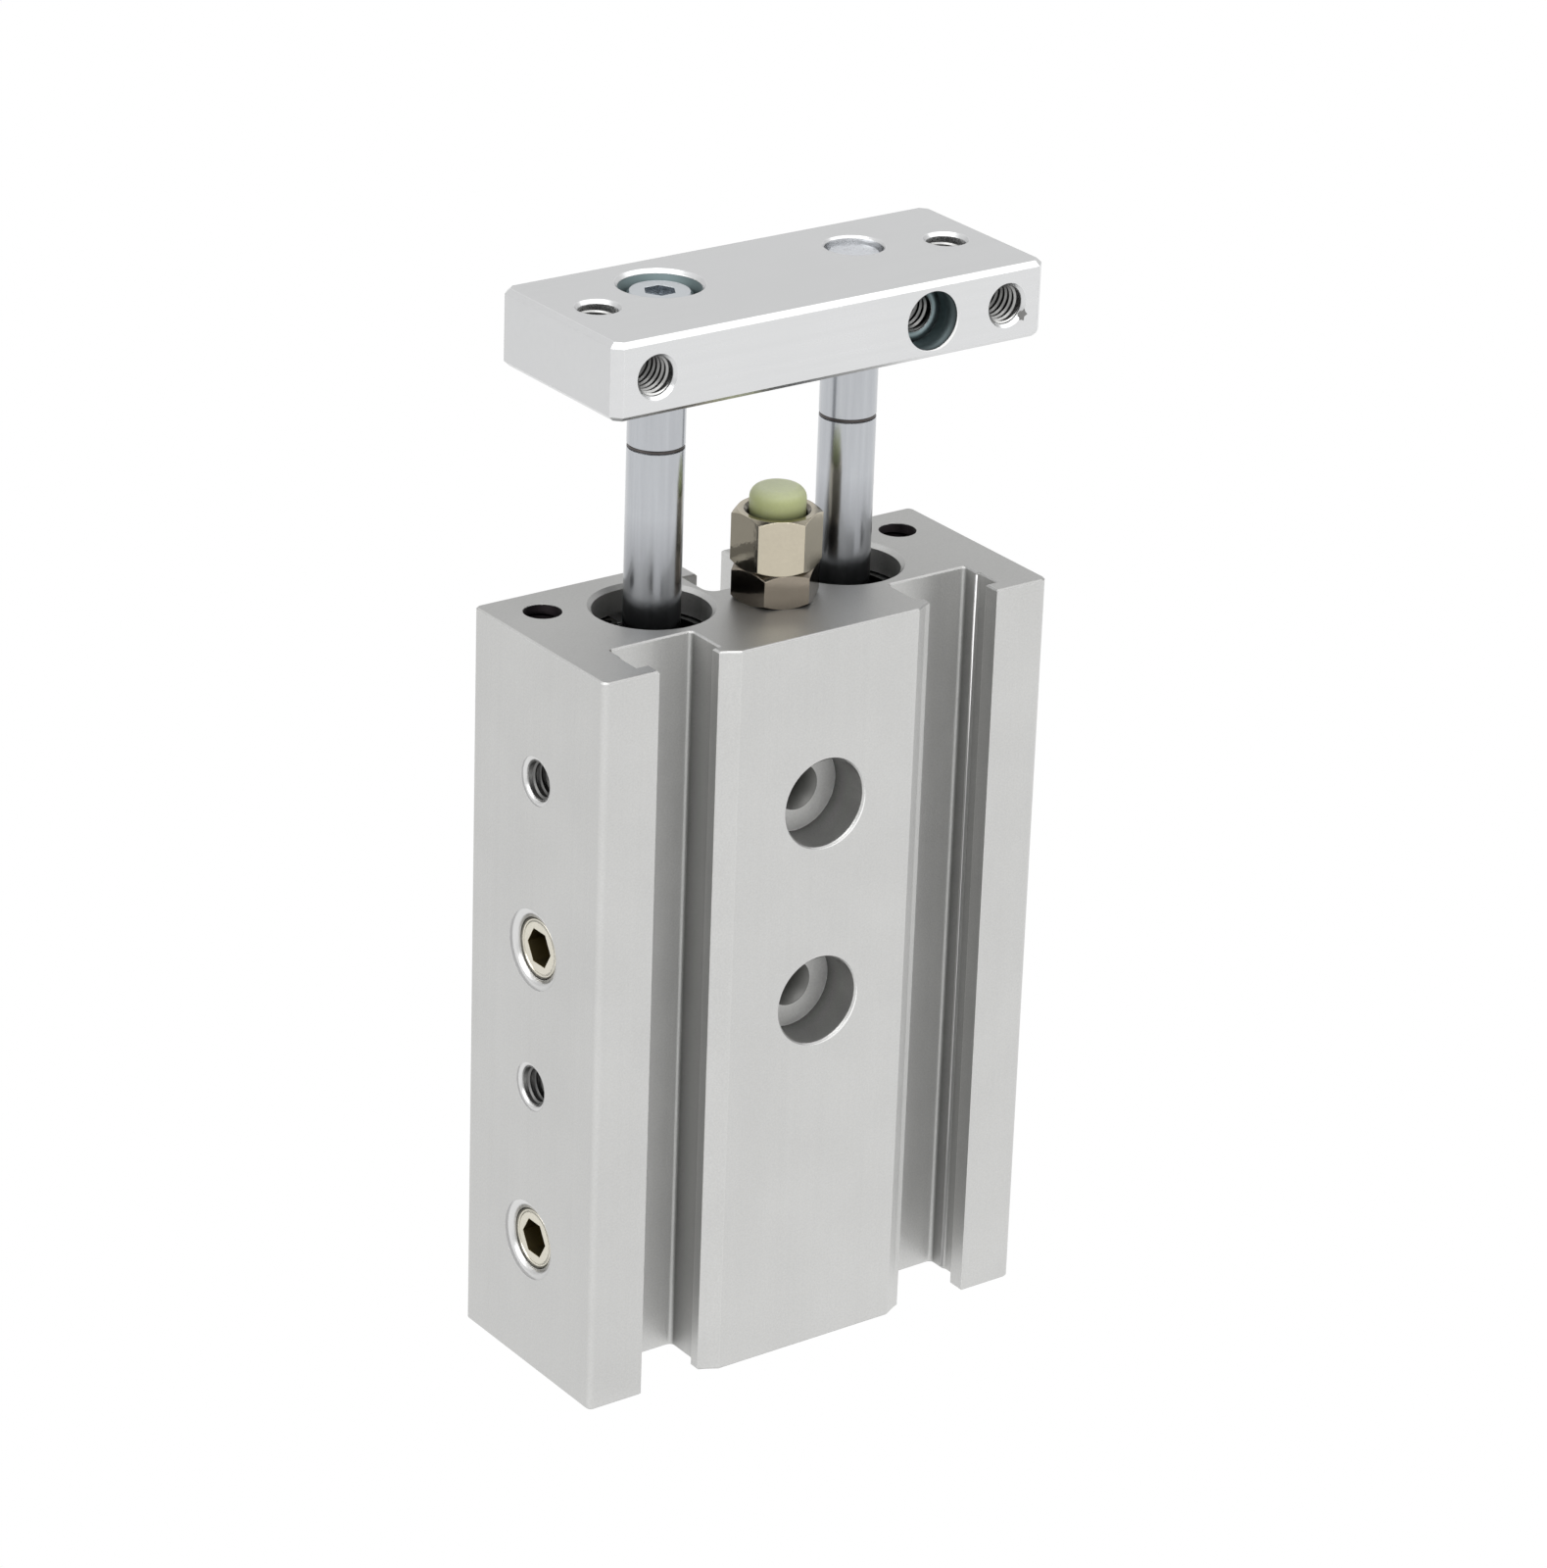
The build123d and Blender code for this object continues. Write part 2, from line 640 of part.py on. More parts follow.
def turn_hexagon(low_z, height, turn):
    # Hexagon with the corners of both its faces turned off, as on a bolt head or a nut.
    corner_radius = hex_across_flats / 3**0.5
    with BuildPart() as hexagon:
        with BuildSketch(Plane(origin=(bolt_x, bolt_y, low_z))):
            RegularPolygon(hex_across_flats / 2, 6, major_radius=False, rotation=turn)
        extrude(amount=height)
        with BuildSketch(Plane(origin=(bolt_x, bolt_y, low_z), x_dir=(1, 0, 0), z_dir=(0, -1, 0))):
            with BuildLine():
                Polyline(
                    (0, 0),
                    (hex_across_flats / 2, 0),
                    (corner_radius, hex_corner_chamfer),
                    (corner_radius, height - hex_corner_chamfer),
                    (hex_across_flats / 2, height),
                    (0, height),
                    close=True,
                )
            make_face()
        revolve(axis=Axis((bolt_x, bolt_y, 0), (0, 0, 1)), mode=Mode.INTERSECT)
    return hexagon.part


# Lock nut
nut_blank = turn_hexagon(body_height, lock_nut_height, lock_nut_turn)
with BuildPart() as lock_nut:
    add(nut_blank)
    with Locations((bolt_x, bolt_y, body_height + lock_nut_height)):
        Hole(m3_pitch_diameter / 2 + thread_clearance)
lock_nut.part.label = "lock_nut"
export_step(lock_nut.part, "parts/lock_nut.step")

# Bumper bolt, with a seat in its head for the cushion
bolt_head_blank = turn_hexagon(bolt_head_z, bolt_head_height, bolt_head_turn)
with BuildPart() as bumper_bolt:
    add(bolt_head_blank)
    with BuildSketch(Plane(origin=(bolt_x, bolt_y, bolt_head_z - bolt_length))):
        Circle(m3_pitch_diameter / 2)
    extrude(amount=bolt_length)
    chamfer(bumper_bolt.edges().group_by(Axis.Z)[0], 0.3)
    with Locations((bolt_x, bolt_y, bolt_head_z + bolt_head_height)):
        Hole(cushion_diameter / 2 + fit_clearance, cushion_seat_depth)
    seat_rim = bumper_bolt.edges().filter_by(GeomType.CIRCLE).filter_by(
        lambda edge: abs(edge.radius - cushion_diameter / 2 - fit_clearance) < 0.01
    )
    chamfer(seat_rim.group_by(Axis.Z)[-1], cushion_seat_chamfer)
bumper_bolt.part.label = "bumper_bolt"
export_step(bumper_bolt.part, "parts/bumper_bolt.step")

# Cushion that the end plate lands on
with BuildPart() as cushion:
    cushion_z = bolt_head_z + bolt_head_height - cushion_seat_depth + fit_clearance
    with BuildSketch(Plane(origin=(bolt_x, bolt_y, cushion_z))):
        Circle(cushion_diameter / 2)
    extrude(amount=cushion_top_z - cushion_z)
    fillet(cushion.edges().group_by(Axis.Z)[-1], cushion_round)
cushion.part.label = "cushion"
export_step(cushion.part, "parts/cushion.step")

# Plugs in the two left ports
for name, height in (("lower", port_low), ("upper", body_height - port_from_top)):
    plug_plane = Plane(origin=(-body_width / 2 + plug_recess, 0, height), x_dir=(0, -1, 0), z_dir=(-1, 0, 0))
    with BuildPart() as port_plug:
        with BuildSketch(plug_plane):
            Circle(m5_pitch_diameter / 2)
        extrude(amount=-plug_length)
        chamfer(port_plug.edges().group_by(Axis.X)[0], plug_chamfer)
        with BuildSketch(plug_plane):
            RegularPolygon(plug_socket / 2, 6, major_radius=False)
        extrude(amount=-plug_socket_depth, mode=Mode.SUBTRACT)
    port_plug.part.label = f"port_plug_{name}"
    export_step(port_plug.part, f"parts/port_plug_{name}.step")
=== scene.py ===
# Looks for the guided cylinder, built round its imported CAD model. Lengths are in metres.
import bmesh
import bpy
import json
import math
from mathutils import Matrix, Vector


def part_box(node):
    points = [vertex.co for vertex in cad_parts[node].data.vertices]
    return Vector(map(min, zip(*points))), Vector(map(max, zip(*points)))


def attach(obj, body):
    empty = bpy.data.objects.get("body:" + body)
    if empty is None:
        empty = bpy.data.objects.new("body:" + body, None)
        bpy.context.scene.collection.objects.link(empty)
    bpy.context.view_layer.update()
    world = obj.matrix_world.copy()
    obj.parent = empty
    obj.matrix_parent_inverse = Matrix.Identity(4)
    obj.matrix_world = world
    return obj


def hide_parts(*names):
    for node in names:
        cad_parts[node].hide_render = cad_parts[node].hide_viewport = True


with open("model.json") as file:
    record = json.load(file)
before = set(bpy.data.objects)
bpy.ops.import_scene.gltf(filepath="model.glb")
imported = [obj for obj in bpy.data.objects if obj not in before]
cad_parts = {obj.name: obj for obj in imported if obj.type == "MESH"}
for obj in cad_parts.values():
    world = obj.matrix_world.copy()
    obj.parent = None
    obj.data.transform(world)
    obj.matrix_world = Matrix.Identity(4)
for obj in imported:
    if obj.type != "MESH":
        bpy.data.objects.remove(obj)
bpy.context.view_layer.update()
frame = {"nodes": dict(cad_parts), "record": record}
nodes = frame["nodes"]
mm = 0.001
scene = bpy.context.scene
scene.view_settings.view_transform = "Standard"
print("frame loaded:", len(nodes), "nodes")


# Small helpers for node trees

def addNode(tree, kind, label=None, **settings):
    node = tree.nodes.new(kind)
    if label:
        node.label = label
    for key, value in settings.items():
        setattr(node, key, value)
    return node


def feed(tree, source, target):
    tree.links.new(source, target)


def mathNode(tree, operation, first, second=None, third=None):
    node = addNode(tree, "ShaderNodeMath", operation=operation)
    for index, value in enumerate((first, second, third)):
        if value is None:
            continue
        if isinstance(value, (int, float)):
            node.inputs[index].default_value = value
        else:
            feed(tree, value, node.inputs[index])
    return node.outputs[0]


def stretch(tree, value, low, high, toLow, toHigh):
    node = addNode(tree, "ShaderNodeMapRange")
    node.inputs["From Min"].default_value = low
    node.inputs["From Max"].default_value = high
    node.inputs["To Min"].default_value = toLow
    node.inputs["To Max"].default_value = toHigh
    feed(tree, value, node.inputs["Value"])
    return node.outputs["Result"]


def newGroup(name, inputs, outputs):
    group = bpy.data.node_groups.new(name, "ShaderNodeTree")
    for label, kind, value in inputs:
        socket = group.interface.new_socket(name=label, in_out="INPUT", socket_type=kind)
        if value is not None:
            socket.default_value = value
    for label, kind in outputs:
        group.interface.new_socket(name=label, in_out="OUTPUT", socket_type=kind)
    return group, addNode(group, "NodeGroupInput"), addNode(group, "NodeGroupOutput")


def useGroup(tree, group, **values):
    node = addNode(tree, "ShaderNodeGroup")
    node.node_tree = group
    for key, value in values.items():
        node.inputs[key].default_value = value
    return node


# Effects that several finishes share

effects = {
    "patchShare": 0.5,  # of the cloudy patches beside the fine grain
    "grainMiddle": 0.75,  # mean of the two together
    "edgeFull": 0.25,  # turn of the normal at which an edge counts in full
    "shut": 0.05,  # openness that counts as none
    "deepOpen": 0.35,  # openness at which a floor has its full light
    "streakBump": 0.4,  # height of the streaks beside the grain
}


def makeGrainGroup():
    # Fine speckle of a blasted or etched surface, with longer cloudy patches under it
    group, given, out = newGroup(
        "surfaceGrain",
        [
            ("GrainSize", "NodeSocketFloat", 0.15 * mm),
            ("PatchSize", "NodeSocketFloat", 6 * mm),
            ("Contrast", "NodeSocketFloat", 0.06),
        ],
        [("Tone", "NodeSocketFloat"), ("Height", "NodeSocketFloat")],
    )
    place = addNode(group, "ShaderNodeTexCoord")
    grainScale = mathNode(group, "DIVIDE", 1.0, given.outputs["GrainSize"])
    patchScale = mathNode(group, "DIVIDE", 1.0, given.outputs["PatchSize"])
    grain = addNode(group, "ShaderNodeTexNoise", "grain")
    grain.inputs["Detail"].default_value = 2.0
    patch = addNode(group, "ShaderNodeTexNoise", "patches")
    patch.inputs["Detail"].default_value = 3.0
    for noise, scale in ((grain, grainScale), (patch, patchScale)):
        feed(group, place.outputs["Object"], noise.inputs["Vector"])
        feed(group, scale, noise.inputs["Scale"])
    mixed = mathNode(group, "MULTIPLY_ADD", patch.outputs["Fac"], effects["patchShare"],
                     grain.outputs["Fac"])
    centred = mathNode(group, "SUBTRACT", mixed, effects["grainMiddle"])
    tone = mathNode(group, "MULTIPLY_ADD", centred, given.outputs["Contrast"], 1.0)
    feed(group, tone, out.inputs["Tone"])
    feed(group, grain.outputs["Fac"], out.inputs["Height"])
    return group


def makeStreakGroup():
    # Fine lines left by drawing or grinding: noise pulled long in one direction
    group, given, out = newGroup(
        "drawnStreaks",
        [
            ("Squeeze", "NodeSocketVector", (4000.0, 4000.0, 40.0)),
            ("Contrast", "NodeSocketFloat", 0.05),
        ],
        [("Tone", "NodeSocketFloat"), ("Height", "NodeSocketFloat")],
    )
    place = addNode(group, "ShaderNodeTexCoord")
    pulled = addNode(group, "ShaderNodeVectorMath", operation="MULTIPLY")
    feed(group, place.outputs["Object"], pulled.inputs[0])
    feed(group, given.outputs["Squeeze"], pulled.inputs[1])
    lines = addNode(group, "ShaderNodeTexNoise", "lines")
    lines.inputs["Scale"].default_value = 1.0
    lines.inputs["Detail"].default_value = 3.0
    feed(group, pulled.outputs["Vector"], lines.inputs["Vector"])
    centred = mathNode(group, "SUBTRACT", lines.outputs["Fac"], 0.5)
    tone = mathNode(group, "MULTIPLY_ADD", centred, given.outputs["Contrast"], 1.0)
    feed(group, tone, out.inputs["Tone"])
    feed(group, lines.outputs["Fac"], out.inputs["Height"])
    return group


def makeEdgeGroup():
    # Soft broken edges: a rounded normal, and a mask that is 1 along the edges, which paints a highlight
    # along them
    group, given, out = newGroup(
        "roundedEdgesAndHighlight",
        [("Radius", "NodeSocketFloat", 0.08 * mm)],
        [("Normal", "NodeSocketVector"), ("Edge", "NodeSocketFloat")],
    )
    bevel = addNode(group, "ShaderNodeBevel", samples=4)
    feed(group, given.outputs["Radius"], bevel.inputs["Radius"])
    surface = addNode(group, "ShaderNodeNewGeometry")
    same = addNode(group, "ShaderNodeVectorMath", operation="DOT_PRODUCT")
    feed(group, bevel.outputs["Normal"], same.inputs[0])
    feed(group, surface.outputs["Normal"], same.inputs[1])
    away = mathNode(group, "SUBTRACT", 1.0, same.outputs["Value"])
    feed(group, stretch(group, away, 0.0, effects["edgeFull"], 0.0, 1.0), out.inputs["Edge"])
    feed(group, bevel.outputs["Normal"], out.inputs["Normal"])
    return group


def makeCavityGroup(name, onlyOwn):
    # Painted shade: deep holes, grooves and corners are darkened in the colour, 1 in the open, down to
    # Darkest
    group, given, out = newGroup(
        name,
        [
            ("Reach", "NodeSocketFloat", 4 * mm),
            ("Clear", "NodeSocketFloat", 0.9),
            ("Darkest", "NodeSocketFloat", 0.3),
        ],
        [("Tone", "NodeSocketFloat"), ("DeepTone", "NodeSocketFloat"), ("Open", "NodeSocketFloat")],
    )
    openness = addNode(group, "ShaderNodeAmbientOcclusion", samples=8, only_local=onlyOwn)
    feed(group, given.outputs["Reach"], openness.inputs["Distance"])
    share = mathNode(group, "DIVIDE", openness.outputs["AO"], given.outputs["Clear"])
    share = stretch(group, share, effects["shut"], 1.0, 0.0, 1.0)
    span = mathNode(group, "SUBTRACT", 1.0, given.outputs["Darkest"])
    tone = mathNode(group, "MULTIPLY_ADD", share, span, given.outputs["Darkest"])
    feed(group, tone, out.inputs["Tone"])
    deepShare = stretch(group, share, 0.0, effects["deepOpen"], 0.0, 1.0)
    deepTone = mathNode(group, "MULTIPLY_ADD", deepShare, span, given.outputs["Darkest"])
    feed(group, deepTone, out.inputs["DeepTone"])
    feed(group, share, out.inputs["Open"])
    return group


def makeFaceShadeGroup():
    # Painted light and shade: sides, ends, corners and rims each get their own tone, for how the light
    # falls on them
    group, given, out = newGroup(
        "paintedFaceShade",
        [
            ("Sides", "NodeSocketFloat", 1.0),
            ("Ends", "NodeSocketFloat", 1.0),
            ("Corners", "NodeSocketFloat", 1.0),
            ("Rims", "NodeSocketFloat", 1.0),
        ],
        [("Tone", "NodeSocketFloat"), ("EndMask", "NodeSocketFloat"), ("FrontMask", "NodeSocketFloat")],
    )
    surface = addNode(group, "ShaderNodeNewGeometry")
    split = addNode(group, "ShaderNodeSeparateXYZ")
    feed(group, surface.outputs["Normal"], split.inputs[0])
    toSide = mathNode(group, "POWER", mathNode(group, "ABSOLUTE", split.outputs["X"]), 2.0)
    toEnd = mathNode(group, "POWER", mathNode(group, "ABSOLUTE", split.outputs["Z"]), 2.0)
    toFront = mathNode(group, "POWER", mathNode(group, "ABSOLUTE", split.outputs["Y"]), 2.0)
    corner = mathNode(group, "MULTIPLY", mathNode(group, "MULTIPLY", toSide, toFront), 4.0)
    rim = mathNode(group, "MULTIPLY", mathNode(group, "MULTIPLY", toEnd, toFront), 4.0)
    tone = 1.0
    for mask, name in ((toSide, "Sides"), (toEnd, "Ends"), (corner, "Corners"), (rim, "Rims")):
        change = mathNode(group, "SUBTRACT", given.outputs[name], 1.0)
        tone = mathNode(group, "MULTIPLY_ADD", mask, change, tone)
    feed(group, tone, out.inputs["Tone"])
    feed(group, toEnd, out.inputs["EndMask"])
    feed(group, toFront, out.inputs["FrontMask"])
    return group


grainGroup = makeGrainGroup()
streakGroup = makeStreakGroup()
edgeGroup = makeEdgeGroup()
cavityGroups = {
    "own": makeCavityGroup("ownHollowShade", True),
    "shared": makeCavityGroup("sharedHollowShade", False),
}
faceShadeGroup = makeFaceShadeGroup()
print("shared effects ready")


finishDefaults = {
    "metal": 1.0,
    "sides": 1.0,  # painted light and shade on each kind of face
    "ends": 1.0,
    "corners": 1.0,
    "rims": 1.0,
    "reach": 4 * mm,  # how far hollows are felt
    "clear": 0.9,  # openness that counts as full light
    "hollows": "shared",  # "own" when only the piece itself shades its hollows
    "openFloors": 0.0,  # share by which hollow floors facing the front take their own shade
    # floorLift lightens the floors of closed hollows and wallPower deepens the shade on their walls,
    # both painted into the colour
    "floorLift": 0.0,
    "wallPower": 1.0,
    "endRoughness": 0.0,
    "hollowRoughness": 0.0,
}
finishes = {
    "bodyAluminium": {
        "colour": (0.64, 0.64, 0.63),
        "roughness": 0.46,
        "grain": 0.14 * mm,
        "contrast": 0.22,
        "streaks": (2500.0, 2500.0, 25.0),
        "streakContrast": 0.05,
        "bump": 0.012 * mm,
        "edge": 0.07 * mm,
        "edgeHighlight": 0.4,
        "darkest": 0.16,
        "sides": 0.92,
        "ends": 0.71,
        "corners": 1.06,
        "rims": 0.64,
        "hollows": "own",
        "openFloors": 1.0,
        "floorLift": 0.34,
        "wallPower": 2.1,
        "endRoughness": 0.12,
        "hollowRoughness": 0.3,
    },
    "plateAluminium": {
        "colour": (0.74, 0.745, 0.75),
        "roughness": 0.27,
        "grain": 0.10 * mm,
        "contrast": 0.07,
        "streaks": (30.0, 2600.0, 2600.0),
        "streakContrast": 0.05,
        "bump": 0.006 * mm,
        "edge": 0.10 * mm,
        "edgeHighlight": 0.3,
        "darkest": 0.42,
        "sides": 0.86,
        "ends": 0.9,
        "corners": 1.06,
        "rims": 0.97,
        "hollows": "own",
    },
    "threadAluminium": {
        "colour": (0.60, 0.60, 0.59),
        "roughness": 0.34,
        "grain": 0.05 * mm,
        "contrast": 0.10,
        "streaks": (3000.0, 3000.0, 3000.0),
        "streakContrast": 0.05,
        "bump": 0.002 * mm,
        "edge": 0.02 * mm,
        "edgeHighlight": 0.2,
        "darkest": 0.34,
    },
    # Painted shade: a darker copy of the thread finish for the side threads; also the plate nick's own
    # dark colour
    "shadedThreadAndNick": {
        "colour": (0.24, 0.24, 0.235),
        "roughness": 0.42,
        "grain": 0.05 * mm,
        "contrast": 0.10,
        "streaks": (3000.0, 3000.0, 3000.0),
        "streakContrast": 0.05,
        "bump": 0.002 * mm,
        "edge": 0.02 * mm,
        "edgeHighlight": 0.2,
        "darkest": 0.34,
    },
    "innerAluminium": {
        "colour": (0.55, 0.55, 0.54),
        "roughness": 0.3,
        "grain": 0.1 * mm,
        "contrast": 0.08,
        "streaks": (40.0, 40.0, 4000.0),
        "streakContrast": 0.10,
        "bump": 0.003 * mm,
        "edge": 0.05 * mm,
        "edgeHighlight": 0.1,
        "darkest": 0.15,
    },
    "rodChrome": {
        "colour": (0.50, 0.515, 0.54),
        "roughness": 0.21,
        "grain": 0.3 * mm,
        "contrast": 0.04,
        "streaks": (2200.0, 2200.0, 90.0),
        "streakContrast": 0.3,
        "bump": 0.0006 * mm,
        "edge": 0.04 * mm,
        "edgeHighlight": 0.1,
        "darkest": 1.0,
        "ends": 1.34,
        "fade": ("Z", 54 * mm, 62 * mm, 0.3),  # painted shade, darker downwards towards the housing's opening
    },
    "nickelSteel": {
        "colour": (0.66, 0.60, 0.475),
        "roughness": 0.16,
        "grain": 0.25 * mm,
        "contrast": 0.10,
        "streaks": (600.0, 600.0, 600.0),
        "streakContrast": 0.08,
        "bump": 0.004 * mm,
        "edge": 0.09 * mm,
        "edgeHighlight": 0.2,
        "darkest": 0.1,
        "sides": 0.33,
        "ends": 0.8,
        "reach": 1.2 * mm,
    },
    # Painted shade: a darker copy of nickelSteel for the lock nut
    "shadedNickelNut": {
        "colour": (0.31, 0.27, 0.22),
        "roughness": 0.16,
        "grain": 0.25 * mm,
        "contrast": 0.10,
        "streaks": (600.0, 600.0, 600.0),
        "streakContrast": 0.08,
        "bump": 0.004 * mm,
        "edge": 0.09 * mm,
        "edgeHighlight": 0.2,
        "darkest": 0.28,
        "sides": 0.8,
        "ends": 0.8,
        "reach": 1.2 * mm,
    },
    "zincSteel": {
        "colour": (0.60, 0.63, 0.66),
        "roughness": 0.2,
        "grain": 0.2 * mm,
        "contrast": 0.08,
        "streaks": (500.0, 500.0, 500.0),
        "streakContrast": 0.06,
        "bump": 0.003 * mm,
        "edge": 0.08 * mm,
        "edgeHighlight": 0.2,
        "darkest": 0.85,
    },
    "blackSteel": {
        "colour": (0.03, 0.032, 0.03),
        "roughness": 0.38,
        "grain": 0.15 * mm,
        "contrast": 0.3,
        "streaks": (800.0, 800.0, 800.0),
        "streakContrast": 0.2,
        "bump": 0.004 * mm,
        "edge": 0.06 * mm,
        "edgeHighlight": 0.8,
        "darkest": 0.4,
    },
    "plugBrass": {
        "colour": (0.69, 0.66, 0.57),
        "roughness": 0.22,
        "grain": 0.2 * mm,
        "contrast": 0.12,
        "streaks": (900.0, 900.0, 900.0),
        "streakContrast": 0.08,
        "bump": 0.004 * mm,
        "edge": 0.08 * mm,
        "edgeHighlight": 0.25,
        "darkest": 0.6,
        "reach": 2 * mm,
        "clear": 0.42,
    },
    # Painted shade for the cap screw's counterbore wall
    "capBorePaintedShade": {
        "colour": (0.14, 0.18, 0.185),
        "roughness": 0.55,
        "grain": 0.2 * mm,
        "contrast": 0.2,
        "streaks": (500.0, 500.0, 500.0),
        "streakContrast": 0.15,
        "bump": 0.003 * mm,
        "edge": 0.02 * mm,
        "edgeHighlight": 0.4,
        "darkest": 0.5,
    },
    # Painted shade for the clamp counterbore's wall and seat, darkest at the mouth
    "clampBorePaintedShade": {
        "colour": (0.36, 0.45, 0.465),
        "roughness": 0.55,
        "grain": 0.2 * mm,
        "contrast": 0.2,
        "streaks": (500.0, 500.0, 500.0),
        "streakContrast": 0.15,
        "bump": 0.003 * mm,
        "edge": 0.02 * mm,
        "edgeHighlight": 0.4,
        "darkest": 0.75,
        "fade": ("Y", -7.1 * mm, -5.4 * mm, 0.12),
    },
    # Painted shade: near-black for the end holes' wall sheets and their threads
    "paintedBoreShade": {
        "colour": (0.012, 0.010, 0.011),
        "roughness": 0.42,
        "grain": 0.1 * mm,
        "contrast": 0.3,
        "streaks": (900.0, 900.0, 900.0),
        "streakContrast": 0.2,
        "bump": 0.003 * mm,
        "edge": 0.02 * mm,
        "edgeHighlight": 0.3,
        "darkest": 0.3,
    },
    "rodMark": {
        "colour": (0.115, 0.103, 0.10),
        "roughness": 0.42,
        "grain": 0.1 * mm,
        "contrast": 0.3,
        "streaks": (900.0, 900.0, 900.0),
        "streakContrast": 0.2,
        "bump": 0.003 * mm,
        "edge": 0.02 * mm,
        "edgeHighlight": 0.3,
        "darkest": 0.6,
    },
    "socketShade": {
        "colour": (0.34, 0.28, 0.14),
        "roughness": 0.42,
        "grain": 0.1 * mm,
        "contrast": 0.3,
        "streaks": (900.0, 900.0, 900.0),
        "streakContrast": 0.2,
        "bump": 0.003 * mm,
        "edge": 0.02 * mm,
        "edgeHighlight": 0.3,
        "darkest": 0.4,
    },
    # Bare cut metal for the countersinks; also the bright finish of the painted highlight beads in the
    # grooves
    "cutAluminiumAndHighlight": {
        "colour": (0.71, 0.71, 0.705),
        "roughness": 0.3,
        "grain": 0.1 * mm,
        "contrast": 0.06,
        "streaks": (900.0, 900.0, 900.0),
        "streakContrast": 0.1,
        "bump": 0.002 * mm,
        "edge": 0.02 * mm,
        "edgeHighlight": 0.1,
        "darkest": 1.0,
        "fade": ("Y", -2.0 * mm, 1.0 * mm, 0.78),  # a little darker towards the front
    },
    # Painted highlight: near-white finish for the glints on the bore rims
    "rimGlintWhite": {
        "colour": (0.96, 0.96, 0.95),
        "roughness": 0.25,
        "grain": 0.1 * mm,
        "contrast": 0.04,
        "streaks": (900.0, 900.0, 900.0),
        "streakContrast": 0.05,
        "bump": 0.001 * mm,
        "edge": 0.01 * mm,
        "edgeHighlight": 0.0,
        "darkest": 1.0,
    },
    # Painted light: lifts the through holes' walls above the shade the hollows would give
    "throughHolePaintedLight": {
        "colour": (0.28, 0.28, 0.27),
        "roughness": 0.5,
        "grain": 0.1 * mm,
        "contrast": 0.1,
        "streaks": (900.0, 900.0, 900.0),
        "streakContrast": 0.2,
        "bump": 0.002 * mm,
        "edge": 0.02 * mm,
        "edgeHighlight": 0.3,
        "darkest": 1.0,
    },
    "magnetBlack": {
        "colour": (0.05, 0.05, 0.05),
        "roughness": 0.6,
        "grain": 0.1 * mm,
        "contrast": 0.3,
        "streaks": (500.0, 500.0, 500.0),
        "streakContrast": 0.1,
        "bump": 0.006 * mm,
        "edge": 0.05 * mm,
        "edgeHighlight": 0.2,
        "darkest": 0.6,
    },
}


